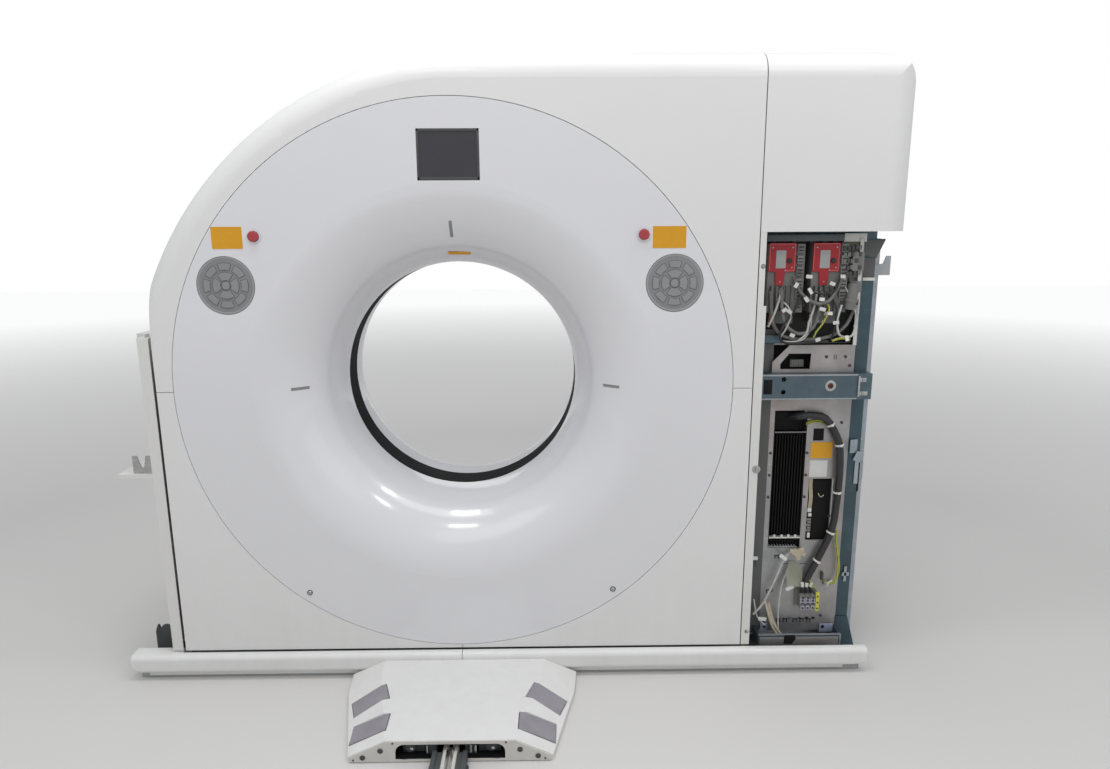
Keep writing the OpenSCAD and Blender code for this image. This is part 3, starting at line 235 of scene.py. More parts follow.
def shade(color, factor):
    return tuple(min(1.0, c * factor) for c in color)


def painted(name, color, rough=0.45, coat=0.0, dust=0.25, grime=0.0, peel=0.3, specular=0.5):
    """Sprayed or moulded surface: faint mottling, orange peel, dust speckles, grime near the floor."""
    p = Paint(name, rough, 0.0, coat, specular)
    cloud = p.noise(2.2, 3.0)
    base = p.ramp(cloud, [(0.3, shade(color, 0.985)), (0.7, shade(color, 1.012))])
    speck = p.span(p.noise(140, 2.0), 0.64, 0.74)
    base = p.blend(p.times(speck, p.span(p.noise(6), 0.35, 0.75, 0, dust)), base, shade(color, 0.72))
    if grime:
        low = p.span(p.world_z(), 0.42, 0.02, 0, grime)
        streaks = p.span(p.noise(9, 6.0, stretch=(3.0, 3.0, 0.7)), 0.35, 0.8)
        base = p.blend(p.times(low, streaks), base, (0.33, 0.29, 0.24))
    p.color(base)
    p.roughness(p.span(p.noise(5, 5.0), 0.3, 0.75, rough * 0.85, rough * 1.18))
    p.bump(p.noise(420, 2.0), peel * 0.25, 0.0004)
    return p.mat


def zinc_plate(name, color, rough=0.36, spangle=0.22):
    """Zinc-passivated sheet: cloudy blue-grey patches, drawn lines and bright scratches."""
    p = Paint(name, rough, 0.75)
    patches = p.ramp(p.noise(11, 5.0), [(0.28, shade(color, 0.72)), (0.52, color), (0.8, shade(color, 1.5))])
    warm = (color[0] * 1.25, color[1], color[2] * 0.86)
    rainbow = p.ramp(p.noise(4.0, 2.0), [(0.35, color), (0.7, warm)])
    base = p.blend(0.45, patches, rainbow)
    scratch = p.span(p.noise(60, 4.0, stretch=(0.4, 1, 5)), 0.66, 0.72, 0, 0.45)
    p.color(p.blend(scratch, base, shade(color, 1.9)))
    p.roughness(p.span(p.noise(24, 4.0), 0.3, 0.8, rough * 0.8, rough * 1.5))
    p.bump(p.noise(90, 4.0), spangle, 0.0005)
    return p.mat


def machined(name, color, rough=0.3):
    """Bare machined metal with fine drawn lines."""
    p = Paint(name, rough, 1.0)
    lines = p.noise(300, 3.0, stretch=(0.15, 1.0, 1.0))
    p.color(p.ramp(lines, [(0.3, shade(color, 0.86)), (0.75, shade(color, 1.12))]))
    p.roughness(p.span(p.noise(12, 5.0), 0.3, 0.8, rough * 0.75, rough * 1.5))
    p.bump(lines, 0.12, 0.0003)
    return p.mat


def plastic(name, color, rough=0.5, coat=0.0, grain=0.3, wear=0.12):
    """Moulded plastic with a spark-eroded grain and, where it is worn, paler rubbed places."""
    p = Paint(name, rough, 0.0, coat)
    rubbed = p.span(p.noise(26, 5.0), 0.55, 0.78, 0, wear)
    base = p.ramp(p.noise(7, 3.0), [(0.3, shade(color, 0.93)), (0.7, shade(color, 1.06))])
    lift = tuple(c + 0.12 for c in color)
    p.color(p.blend(rubbed, base, lift))
    p.roughness(p.span(p.noise(40, 3.0), 0.3, 0.8, rough * 0.85, rough * 1.15))
    p.bump(p.noise(900, 2.0), grain, 0.0003)
    return p.mat


def jacket(name, color, stripe=None):
    """Cable jacket: soft sheen with faint ribbing, and a striped second colour where given."""
    p = Paint(name, 0.45, 0.0)
    base = p.ramp(p.noise(50, 3.0), [(0.3, shade(color, 0.85)), (0.7, shade(color, 1.15))])
    if stripe:
        wave = p.node("ShaderNodeTexWave", wave_type="BANDS", bands_direction="X")
        wave.inputs["Scale"].default_value = 60
        wave.inputs["Distortion"].default_value = 0.4
        p.link(p.place, wave.inputs["Vector"])
        base = p.blend(p.span(wave.outputs["Fac"], 0.52, 0.56), base, stripe)
    p.color(base)
    p.bump(p.noise(260, 2.0), 0.15, 0.0003)
    return p.mat


def pad_rubber(name, color):
    """Dimpled anti-slip pad."""
    p = Paint(name, 0.62, 0.0)
    base = p.ramp(p.noise(18, 5.0), [(0.3, shade(color, 0.88)), (0.75, shade(color, 1.1))])
    dots = p.cells(170)
    p.color(p.blend(p.span(dots, 0.32, 0.2, 0, 0.22), base, shade(color, 1.5)))
    p.bump(p.span(dots, 0.45, 0.15), 0.35, 0.0006)
    return p.mat


def plate_film(name, color):
    """Blank film plate, a little faded and scuffed."""
    p = Paint(name, 0.42, 0.0)
    base = p.ramp(p.noise(16, 4.0), [(0.3, shade(color, 0.93)), (0.75, shade(color, 1.05))])
    p.color(base)
    p.bump(p.noise(60, 3.0), 0.08, 0.0004)
    return p.mat


COVER = (0.72, 0.717, 0.71)
FUNNEL = (0.70, 0.697, 0.722)
MATS = {
    "cover_white": painted("cover_white", COVER, 0.42, 0.12, dust=0.1, grime=0.1),
    "funnel_white": painted("funnel_white", FUNNEL, 0.2, 0.7, dust=0.06, grime=0.04, peel=0.12),
    "post_white": painted("post_white", (0.68, 0.675, 0.65), 0.4, 0.1, dust=0.25, grime=0.2),
    "frame_grey": painted("frame_grey", (0.36, 0.37, 0.38), 0.5, dust=0.5, grime=0.4),
    "panel_grey": zinc_plate("panel_grey", (0.37, 0.372, 0.378), 0.42, 0.1),
    "blue_zinc": zinc_plate("blue_zinc", (0.10, 0.15, 0.185), 0.42),
    "bare_steel": machined("bare_steel", (0.47, 0.47, 0.47)),
    "dark_iron": painted("dark_iron", (0.055, 0.062, 0.064), 0.55, dust=0.5),
    "bay_dark": painted("bay_dark", (0.028, 0.028, 0.032), 0.5, dust=0.6),
    "body_grey": painted("body_grey", (0.17, 0.17, 0.165), 0.5, dust=0.5),
    "drive_red": plastic("drive_red", (0.36, 0.010, 0.018), 0.45, 0.0, wear=0.03),
    "connector_grey": plastic("connector_grey", (0.20, 0.20, 0.19), 0.5),
    "cable_black": jacket("cable_black", (0.022, 0.022, 0.024)),
    "cable_grey": jacket("cable_grey", (0.15, 0.148, 0.14)),
    "earth_green": jacket("earth_green", (0.52, 0.42, 0.05), (0.16, 0.28, 0.06)),
    "motor_grey": painted("motor_grey", (0.20, 0.205, 0.21), 0.45),
    "pad_grey": plastic("pad_grey", (0.225, 0.225, 0.23), 0.55, 0.0, 0.2, 0.05),
    "screen_dark": plastic("screen_dark", (0.040, 0.038, 0.045), 0.16, 0.3, 0.02, 0.02),
    "bezel_dark": plastic("bezel_dark", (0.06, 0.06, 0.065), 0.4),
    "button_red": plastic("button_red", (0.36, 0.035, 0.045), 0.3, 0.4, 0.05, 0.05),
    "rotor_aluminium": machined("rotor_aluminium", (0.62, 0.63, 0.64), 0.35),
    "tube_metal": painted("tube_metal", (0.45, 0.46, 0.46), 0.4),
}
PAD_RUBBER = pad_rubber("pedal_rubber", (0.27, 0.26, 0.285))
YELLOW = plate_film("yellow_film", (0.66, 0.315, 0.004))
WHITE_FILM = plate_film("white_film", (0.62, 0.62, 0.60))
TAG = plate_film("tag_white", (0.66, 0.655, 0.63))
KEY_GREY = plastic("key_grey", (0.255, 0.255, 0.26), 0.5, 0.0, 0.15, 0.04)
KEY_LINE = plastic("key_line", (0.085, 0.085, 0.09), 0.6, 0.0, 0.1, 0.02)
RING_GREY = plastic("ring_grey", (0.30, 0.30, 0.305), 0.4, 0.0, 0.1, 0.02)
SLOT_GREY = plastic("slot_grey", (0.25, 0.25, 0.255), 0.4, 0.0, 0.05, 0.02)
BLACK = painted("matt_black", (0.013, 0.013, 0.014), 0.8, dust=0.15, specular=0.15)
PALE_ZINC = zinc_plate("pale_zinc", (0.36, 0.41, 0.45), 0.42, 0.1)
HEADER = painted("header_blue", (0.085, 0.10, 0.105), 0.5, dust=0.5)
POST_DARK = painted("post_dark", (0.10, 0.10, 0.10), 0.5, dust=0.6)
END_PLATE = painted("end_plate", (0.60, 0.585, 0.55), 0.45, dust=0.5, grime=0.2)
POST_ZINC = zinc_plate("post_zinc", (0.065, 0.105, 0.125), 0.42)
LIGHT_RED = plate_film("outline_red", (0.72, 0.16, 0.16))
RUST_RED = plastic("rust_red", (0.10, 0.022, 0.02), 0.6)
ORANGE = plastic("terminal_orange", (0.50, 0.16, 0.03), 0.5)
LIME = plastic("terminal_lime", (0.60, 0.58, 0.06), 0.5)
LAVENDER = plastic("terminal_grey", (0.36, 0.35, 0.40), 0.5)
BEIGE = jacket("lead_beige", (0.46, 0.40, 0.29))
LILAC = painted("bracket_lilac", (0.30, 0.33, 0.44), 0.5, dust=0.3)
GREY_LABEL = plate_film("grey_label", (0.36, 0.37, 0.36))
BOARD = painted("board_olive", (0.12, 0.13, 0.08), 0.5, dust=0.6)
LEAD_WHITE = jacket("lead_white", (0.50, 0.49, 0.46))

# Nodes whose paint differs from that of their slot
OWN_MATERIAL = {
    "laser_windows": SLOT_GREY,
    "column_flange": PALE_ZINC,
    "column_post": POST_ZINC,
    "post_right": POST_DARK,
    "fin_module": BLACK,
    "bore_window": BLACK,
    "pedal_end_plate": END_PLATE,
    "pedal_left_rear": PAD_RUBBER,
    "pedal_left_front": PAD_RUBBER,
    "pedal_right_rear": PAD_RUBBER,
    "pedal_right_front": PAD_RUBBER,
    "stop_bezels": MATS["funnel_white"],
}


def dress_nodes():
    """Gives every node of the model its own material, or the one of its slot."""
    for part in frame["record"]["subparts"]:
        materials = nodes[part["node"]].data.materials
        materials.clear()
        materials.append(OWN_MATERIAL.get(part["node"]) or MATS[part["material_slot"]])


# Geometry

MM = 0.001


def spline(points, steps):
    """Smooth curve through the points, with a number of steps between each pair."""
    points = [Vector(p) for p in points]
    out = []
    for i in range(len(points) - 1):
        a, b = points[max(0, i - 1)], points[i]
        c, d = points[i + 1], points[min(len(points) - 1, i + 2)]
        for k in range(steps):
            t = k / steps
            out.append(0.5 * (2 * b + (c - a) * t + (2 * a - 5 * b + 4 * c - d) * t * t
                              + (3 * b - a - 3 * c + d) * t ** 3))
    return out + [points[-1]]


def facing(direction):
    """Rotation that turns +Z towards a direction."""
    return Vector(direction).to_track_quat("Z", "Y").to_matrix().to_4x4()


class Kit:
    """Collects shapes, given in millimetres, into one piece of one material.

    The piece wears the material of its slot, unless it gets one of its own.
    """

    def __init__(self, name, slot, material=None, body="stand"):
        self.name = name
        self.slot = slot
        self.material = material or MATS[slot]
        self.body = body
        self.bm = bmesh.new()

    def _place(self, verts, matrix):
        bmesh.ops.transform(self.bm, matrix=matrix, verts=verts)

    def _ring(self, points):
        return [self.bm.verts.new(p) for p in points]

    def _skin(self, rings):
        """Walls between the rings, each with as many points as the next, and a cap on both ends."""
        for low, high in zip(rings, rings[1:]):
            for k in range(len(low)):
                m = (k + 1) % len(low)
                self.bm.faces.new((low[k], low[m], high[m], high[k]))
        self.bm.faces.new(rings[0][::-1])
        self.bm.faces.new(rings[-1])
        return self

    def box(self, x0, x1, y0, y1, z0, z1, bevel=0.6, turn=None):
        """Box with softened edges; turn is an (axis, degrees) pair about its middle."""
        made = bmesh.ops.create_cube(self.bm, size=1.0)["verts"]
        size = Matrix.Diagonal((x1 - x0, y1 - y0, z1 - z0, 1))
        middle = Matrix.Translation(((x0 + x1) / 2, (y0 + y1) / 2, (z0 + z1) / 2))
        spin = Matrix.Rotation(math.radians(turn[1]), 4, turn[0]) if turn else Matrix.Identity(4)
        self._place(made, middle @ spin @ size)
        if bevel:
            edges = list({e for v in made for e in v.link_edges})
            bmesh.ops.bevel(self.bm, geom=edges, offset=bevel, segments=2, affect="EDGES", profile=0.6)
        return self

    def lathe(self, profile, at, axis=FORWARD, steps=28):
        """Revolves (radius, height) pairs about an axis that starts at a point."""
        matrix = Matrix.Translation(at) @ facing(axis)
        rings = []
        for radius, height in profile:
            outline = circle(radius, steps) if radius else [(0, 0)]
            rings.append(self._ring((x, y, height) for x, y in outline))
        for low, high in zip(rings, rings[1:]):
            for k in range(steps):
                m = (k + 1) % steps
                quad = [low[k % len(low)], low[m % len(low)], high[m % len(high)], high[k % len(high)]]
                face = list(dict.fromkeys(quad))
                if len(face) > 2:
                    self.bm.faces.new(face)
        self._place([v for ring in rings for v in ring], matrix)
        return self

    def tube(self, points, radius, steps=6, sides=10):
        """Round lead swept along a smooth curve through the points."""
        path = spline(points, steps)
        side = None
        rings = []
        for i, p in enumerate(path):
            ahead = (path[min(i + 1, len(path) - 1)] - path[max(i - 1, 0)]).normalized()
            if side is None:
                side = ahead.orthogonal().normalized()
            side = (side - ahead * side.dot(ahead)).normalized()
            other = ahead.cross(side)
            rings.append(self._ring(p + a * side + b * other for a, b in circle(radius, sides)))
        return self._skin(rings)

    def plate(self, outline, thickness, at, axis=FORWARD, up=UP, bevel=0.0):
        """Flat plate over an outline of (across, up) pairs, standing off its back along axis."""
        at, axis = Vector(at), Vector(axis).normalized()
        up = (Vector(up) - axis * Vector(up).dot(axis)).normalized()
        across = up.cross(axis)
        levels = [(outline, 0), (outline, thickness - bevel)]
        if bevel:
            levels.append((grown(outline, -bevel), thickness))
        return self._skin([self._ring(at + a * across + b * up + height * axis for a, b in points)
                           for points, height in levels])

    def screw(self, at, radius, axis=FORWARD):
        """Pan head with a socket."""
        profile = ((1, 0), (1, 0.35), (0.82, 0.62), (0.5, 0.7), (0.46, 0.35), (0, 0.3))
        return self.lathe([(r * radius, h * radius) for r, h in profile], at, axis, 18)

    def hex_bolt(self, at, radius, axis=FORWARD):
        """Washer with a hexagon head on it."""
        r = radius
        self.lathe([(1.45 * r, 0), (1.45 * r, 0.16 * r), (1.38 * r, 0.22 * r), (0, 0.22 * r)], at, axis, 24)
        return self.lathe([(r, 0.2 * r), (r, 0.75 * r), (0.86 * r, 0.9 * r), (0, 0.9 * r)], at, axis, 6)

    def done(self, smooth=35):
        """Makes the Blender object, sharp where faces turn by more than smooth degrees."""
        bmesh.ops.scale(self.bm, vec=(MM, MM, MM), verts=self.bm.verts)
        bmesh.ops.recalc_face_normals(self.bm, faces=self.bm.faces)
        for face in self.bm.faces:
            face.smooth = True
        for edge in self.bm.edges:
            if len(edge.link_faces) == 2 and edge.calc_face_angle(0) > math.radians(smooth):
                edge.smooth = False
        mesh = bpy.data.meshes.new(self.name)
        self.bm.to_mesh(mesh)
        self.bm.free()
        mesh.materials.append(self.material)
        piece = bpy.data.objects.new(self.name, mesh)
        bpy.context.scene.collection.objects.link(piece)
        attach(piece, self.body)
        return piece


def circle(r, steps):
    """Outline of a circle about the origin."""
    turns = [2 * math.pi * k / steps for k in range(steps)]
    return [(r * math.cos(a), r * math.sin(a)) for a in turns]


def grown(outline, by):
    """Outline with each point moved away from the middle, or towards it where by is negative."""
    middle = Vector((sum(a for a, _ in outline), sum(b for _, b in outline))) / len(outline)
    return [tuple(Vector(p) + (Vector(p) - middle).normalized() * by) for p in outline]


def rounded(w, h, r, steps=4):
    """Outline of a rectangle w by h about the origin, with rounded corners."""
    x, y = w / 2 - r, h / 2 - r
    out = []
    for cx, cy, start in ((x, y, 0), (-x, y, 90), (-x, -y, 180), (x, -y, 270)):
        for k in range(steps + 1):
            a = math.radians(start + 90 * k / steps)
            out.append((cx + r * math.cos(a), cy + r * math.sin(a)))
    return out


def sector(r0, r1, a0, a1, steps=10):
    """Outline of a ring sector between two radii and two angles in degrees."""
    angles = [math.radians(a0 + (a1 - a0) * k / steps) for k in range(steps + 1)]
    return [(r1 * math.cos(a), r1 * math.sin(a)) for a in angles] + \
        [(r0 * math.cos(a), r0 * math.sin(a)) for a in reversed(angles)]


# The faces that the fittings stand on: front disc, lower panel and drives, and the bore's middle

FY = FRONT_Y / MM
PY = PANEL_Y / MM
DY = DRIVE_Y / MM
CZ = AXIS_Z / MM


# Front disc

DISC_SCREWS = ((-451, 270), (455, 271))
PAD_X, PAD_Z = 616, 1183
STOP_X, STOP_Z = 529, 1315
THROAT_NORMAL = (0, -0.51, -0.86)
THROAT_UP = (0, -0.86, 0.51)


def funnel_fittings():
    """Yellow plates and the two screws of the front disc."""
    plates = Kit("yellow_plates", "pad_grey", YELLOW, body="gantry")
    plates.plate(rounded(83, 59, 2), 0.5, (-601.5, FY, 1311.5))
    plates.plate(rounded(91, 59, 2), 0.5, (598.5, FY, 1307.5))
    plates.plate(rounded(64, 13, 1), 2.4, (14, -161.2, CZ + 380), THROAT_NORMAL, THROAT_UP)
    plates.done()
    screws = Kit("disc_screws", "bare_steel", body="gantry")
    cups = Kit("disc_screw_cups", "bezel_dark", body="gantry")
    for x, z in DISC_SCREWS:
        screws.screw((x, FY, z), 6.5)
        cups.lathe([(8.6, 0), (8.6, 0.5), (8.0, 0.7), (7.0, 0.7), (6.8, 0.1)], (x, FY, z))
    screws.done()
    cups.done()


def control_keys():
    """One, four and eight raised keys with dark outlines, inside a rim, on each control pad."""
    face = FY + 0.6
    shapes = [circle(11, 28)]
    shapes += [sector(15, 36, 90 * k - 35, 90 * k + 35) for k in range(4)]
    shapes += [sector(43, 61, 45 * k - 17, 45 * k + 17) for k in range(8)]
    keys = Kit("pad_keys", "pad_grey", KEY_GREY, body="gantry")
    lines = Kit("pad_outlines", "pad_grey", KEY_LINE, body="gantry")
    rims = Kit("pad_rims", "pad_grey", RING_GREY, body="gantry")
    for x in (-PAD_X, PAD_X):
        at = (x, face, PAD_Z)
        rims.lathe([(78, 0), (78, 0.5), (76, 0.9), (73.5, 0)], at, steps=96)
        for shape in shapes:
            keys.plate(shape, 1.3, at, bevel=0.8)
            lines.plate(grown(shape, 1.5), 0.55, at)
    for kit in (keys, lines, rims):
        kit.done()


def stop_buttons():
    """Domed caps in the place of the plain buttons."""
    for name, x in (("left", -STOP_X), ("right", STOP_X)):
        low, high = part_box("stop_button_" + name)
        r = (high[0] - low[0]) / 2 / MM
        face = low[1] / MM
        cap = Kit("stop_cap_" + name, "button_red", body="stop_" + name)
        dome = [(0.96 * r, -16), (0.96 * r, -3), (r, -2.4), (r, -1.2), (0.86 * r, -0.4), (0.5 * r, 0), (0, 0)]
        cap.lathe(dome, (x, face, STOP_Z), steps=48)
        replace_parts(cap.done(), "stop_button_" + name)


def display_frame():
    """Four bars around the screen, the lower one a little higher."""
    x0, x1 = -80.5, 86.5
    z0, z1 = 1459.5, 1592.5
    wide, foot, gap = 7, 9, 0.4
    bars = ((x0, x1, z1 - wide, z1), (x0, x1, z0, z0 + foot),
            (x0, x0 + wide, z0, z1), (x1 - wide, x1, z0, z1))
    trim = Kit("display_bezel", "bezel_dark", body="gantry")
    for left, right, low, high in bars:
        trim.box(left + gap, right - gap, FY - 0.5, FY + 1.9, low + gap, high - gap, 0.8)
    trim.done()


# Column

DRIVE_XS = (891, 1016)


def drives():
    """Outlines, plates, knobs, screws, plugs and painted shade in the gaps of the two drive units."""
    outline = Kit("drive_outlines", "drive_red", LIGHT_RED)
    label = Kit("drive_plates", "connector_grey", GREY_LABEL)
    knob = Kit("drive_knobs", "bezel_dark", MATS["cable_black"])
    pins = Kit("drive_screws", "bare_steel")
    side = Kit("drive_sides", "connector_grey")
    dark = Kit("drive_slot_shade", "bay_dark")
    for x in DRIVE_XS:
        for a, b, c, d in ((x + 2, x + 74, 1285, 1286.4), (x + 2, x + 3.4, 1212, 1286),
                           (x + 72.6, x + 74, 1212, 1286), (x + 48, x + 74, 1211, 1212.4)):
            outline.box(a, b, DY - 0.6, DY + 0.2, c, d, 0.2)
        label.plate(rounded(28, 50, 1.5), 0.8, (x + 34, DY, 1243))
        knob.lathe([(7, 0), (7, 5), (6.2, 6.5), (2, 6.5), (2, 5.8), (0, 5.8)], (x + 58, DY, 1239))
        for dx, dz in ((10, 1276), (66, 1276), (66, 1220), (48, 1212), (34, 1180)):
            pins.screw((x + dx, DY, dz), 2.4)
        body = DY + 6
        for k in range(5):
            side.box(x + 80, x + 98, body - 9 - 3 * (k % 2), body, 1262 - 32 * k, 1286 - 32 * k, 1.0)
        for dx in (10, 24, 48, 62):
            side.box(x + dx, x + dx + 6, body - 5, body, 1098, 1166, 0.8)
        # Dark strips in the gaps among the ribs and plugs are painted shade.
        for k in range(6):
            for z in (1266 - 32 * k, 1275 - 32 * k):
                dark.box(x + 82, x + 96, body - 12.4, body - 8.8, z, z + 4, 0.4)
        for k in range(5):
            dark.box(x + 8 + 14 * k, x + 12 + 14 * k, body - 6, body - 2.5, 1096, 1168, 0.4)
    for kit in (outline, label, knob, pins, side, dark):
        kit.done()


def column_boards():
    """Small boards and relays on the right of the drive bay, its rail, header and edge, and painted shade at
    its back.
    """
    board = Kit("bay_boards", "connector_grey", BOARD)
    board.box(1098, 1160, DY + 8, DY + 12, 1190, 1290, 0.3)
    board.box(1100, 1164, PY - 14, PY - 10, 1106, 1150, 0.3)
    board.done()
    relay = Kit("bay_relays", "bezel_dark")
    metal = Kit("bay_shields", "body_grey")
    for k in range(25):
        x = 1100 + 11 * (k % 5) + random.uniform(-1, 1)
        z = 1196 + 18 * (k // 5) + random.uniform(-2, 2)
        target = relay if random.random() < 0.55 else metal
        target.box(x, x + 8, DY - random.uniform(2, 10), DY + 8, z, z + 12, 0.7)
    for k in range(4):
        relay.box(1104 + 15 * k, 1115 + 15 * k, PY - 26, PY - 14, 1112, 1124, 0.8)
    relay.done()
    can_at, can_axis = (1128, DY - 2, 1100), (0.14, 0.05, 1)
    metal.lathe([(15, 0), (16, 2), (16, 70), (12, 76), (6, 78), (0, 78)], can_at, can_axis, 32)
    metal.lathe([(17, 20), (17.6, 22), (17.6, 30), (17, 32)], can_at, can_axis, 32)
    metal.done()
    tabs = Kit("bay_rail", "bay_dark")
    tabs.box(884, 1128, DY + 30, DY + 44, 1289, 1296, 1)
    for x in (904, 960, 1010, 1046, 1078, 1100):
        tabs.box(x, x + 12, DY + 16, DY + 31, 1286, 1297, 1)
    tabs.done()
    head = Kit("bay_header", "bay_dark", HEADER)
    head.box(886, 1103, DY + 4, DY + 7, 1293, 1314, 0.6)
    head.box(886, 1103, DY + 4, PY + 1, 1311, 1314, 0.6)
    head.done()
    strip = Kit("bay_edge", "post_white")
    strip.box(1149, 1160, DY + 4, DY + 6, 996, 1300, 0.5)
    strip.box(1158.4, 1160, DY + 4, PY + 1, 996, 1300, 0.4)
    strip.box(1171, 1207, PY - 6, PY - 3.6, 1180, 1189, 0.6)
    strip.box(1104, 1168, DY + 8, DY + 10, 1291, 1314, 0.5)
    strip.done()
    post = Kit("post_head", "bay_dark", POST_DARK)
    post.plate([(-18, -27), (18, -27), (18, 27), (-18, 27)], 1.2, (1188, PY, 1217))
    post.plate([(-19, -18), (18, -26), (41, 25), (-20, 25)], 1.0, (1188, PY - 4, 1270))
    post.done()
    # Black sheet deep at the back of the bay is painted shade.
    shade_sheet = Kit("bay_back_shade", "bay_dark", BLACK)
    shade_sheet.box(887, 1160, PY + 27, PY + 29, 916, 990, 0.3)
    shade_sheet.done()
    block = Kit("bay_block", "connector_grey")
    block.box(983, 1023, PY + 12, PY + 27, 926, 948, 1.2)
    for k in range(5):
        block.box(986 + 7.4 * k, 991 + 7.4 * k, PY + 10, PY + 13, 929, 945, 0.6)
    block.done()
    foot = Kit("bay_foot", "blue_zinc")
    foot.box(891, 941, PY - 16, PY - 12, 1003, 1025, 0.5)
    foot.done()
    lugs = Kit("bay_lugs", "connector_grey", ORANGE)
    for x, z in ((902, 1075), (899, 1058)):
        lugs.box(x, x + 11, DY - 1, DY + 8, z, z + 9, 1.4)
    lugs.done()


TAG_SPOTS = (
    (965, 1172, -60), (1000, 1196, 4), (1094, 1196, 4), (1066, 1176, 20), (1004, 1156, 60), (996, 1132, 58),
    (936, 1102, -40), (950, 1098, 35), (1040, 1132, 2), (1044, 1104, 15), (1066, 1092, 4), (1084, 1066, -8),
    (962, 1030, 24), (1034, 1018, -20), (1120, 1020, 84))


def tilted_up(degrees):
    """Up, turned about the axis that points into the machine."""
    return Matrix.Rotation(math.radians(degrees), 3, "Y") @ UP


def tags():
    """Blank tags on the leads of the drive bay, each turned its own way."""
    kit = Kit("cable_tags", "pad_grey", TAG)
    for x, z, tilt in TAG_SPOTS:
        w = random.uniform(14, 19)
        y = DY - 22 - random.uniform(0, 9)
        face = (random.uniform(-0.3, 0.3), -1, random.uniform(-0.2, 0.4))
        kit.plate(rounded(w, 10, 1), 0.7, (x, y, z), face, tilted_up(tilt))
    kit.done()


def bay_leads():
    """The loose thin leads of the drive bay, on top of the main loops."""
    y = DY - 8
    white = Kit("bay_leads_grey", "cable_grey", LEAD_WHITE)
    black = Kit("bay_leads_black", "cable_black")
    green = Kit("bay_leads_earth", "earth_green")
    white.tube([(928, DY + 5, 1156), (926, y, 1140), (912, y, 1090), (897, y + 4, 1052)], 3.2)
    white.tube([(920, DY + 5, 1130), (944, y - 4, 1116), (958, y - 6, 1086), (946, y - 4, 1046),
                (934, y, 1022), (948, y, 1010), (996, y, 1014), (1018, y + 2, 1046),
                (1022, y + 8, 1082)], 2.4)
    white.tube([(1036, DY + 5, 1150), (1024, y, 1104), (1012, y - 4, 1066), (1006, y - 4, 1034),
                (986, y, 1012)], 3.0)
    white.tube([(1104, y, 1114), (1092, y - 6, 1072), (1098, y - 6, 1034), (1118, y, 1022), (1142, y, 1030),
                (1152, y + 4, 1086), (1154, y + 4, 1130)], 3.2)
    white.tube([(1112, DY + 2, 1168), (1134, y - 2, 1120), (1146, y - 2, 1080), (1144, y, 1050)], 2.0)
    black.tube([(1000, DY + 5, 1110), (984, y - 2, 1140), (966, y - 4, 1096), (940, y - 6, 1060),
                (930, y - 4, 1026), (950, y - 2, 1006), (1010, y - 4, 1007), (1070, y - 4, 1010)], 3.6)
    black.tube([(1062, DY + 5, 1150), (1082, y - 2, 1120), (1090, y - 4, 1090), (1086, y - 2, 1040),
                (1080, y, 1014)], 3.0)
    black.tube([(1006, y, 1162), (1020, y - 8, 1150), (1052, y - 10, 1148), (1080, y - 8, 1160),
                (1092, y, 1186)], 2.6)
    green.tube([(1044, DY + 4, 1132), (1060, y - 12, 1116), (1062, y - 14, 1096), (1048, y - 12, 1062),
                (1034, y - 8, 1040), (1028, y - 4, 1022)], 2.6)
    green.tube([(1080, y - 8, 1012), (1104, y - 12, 1020), (1130, y - 10, 1016)], 3.4)
    for kit in (white, black, green):
        kit.done()
    ferrules = Kit("bay_ferrules", "pad_grey", TAG)
    cone = [(3.4, 0), (3.8, 3), (3.4, 9), (1.8, 12), (0, 12)]
    for x, z in ((1020, 1082), (1042, 1084), (1060, 1086), (1016, 1064), (1038, 1064), (1056, 1064)):
        ferrules.lathe(cone, (x, DY + 4, z), (0.1, -1, 0.5), 14)
    ferrules.done()


def crossbar_bolts():
    """Bolt with its washer, pale lips, painted shade in its cut, and end clip of the crossbar."""
    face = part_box("crossbar")[0][1] / MM
    bolt_at = (1087, face, 879)
    washer = Kit("crossbar_washer", "bare_steel")
    washer.lathe([(16, 0), (16, 1.4), (15.2, 1.9), (8.4, 1.9), (8.4, 0.2)], bolt_at, steps=40)
    washer.done()
    bolt = Kit("crossbar_bolt", "drive_red", RUST_RED)
    bolt.lathe([(8, 0.2), (8, 4.4), (7, 5.2), (4.4, 5.2), (4, 2), (0, 2)], bolt_at, steps=6)
    bolt.done()
    lips = Kit("crossbar_lips", "blue_zinc", PALE_ZINC)
    lips.box(888, 1166, face - 0.9, face + 0.4, 908.6, 913.4, 0.4)
    lips.box(888, 1166, face - 0.9, face + 0.4, 838.6, 842.4, 0.4)
    lips.done()
    # Black patch over the cut is painted shade.
    gap = Kit("crossbar_cut_shade", "bay_dark", BLACK)
    gap.box(892, 917, face - 0.8, face + 0.4, 855, 898, 0.3)
    gap.done()
    clip = Kit("crossbar_clip", "bare_steel")
    clip.box(1166, 1172, face - 5, face, 846, 908, 1.2)
    clip.box(1172, 1196, face - 2.4, face, 850, 862, 0.8)
    clip.box(1172, 1190, face - 2.4, face, 890, 902, 0.8)
    for z in (856, 896):
        clip.screw((1182, face - 2.2, z), 4.4)
    clip.done()


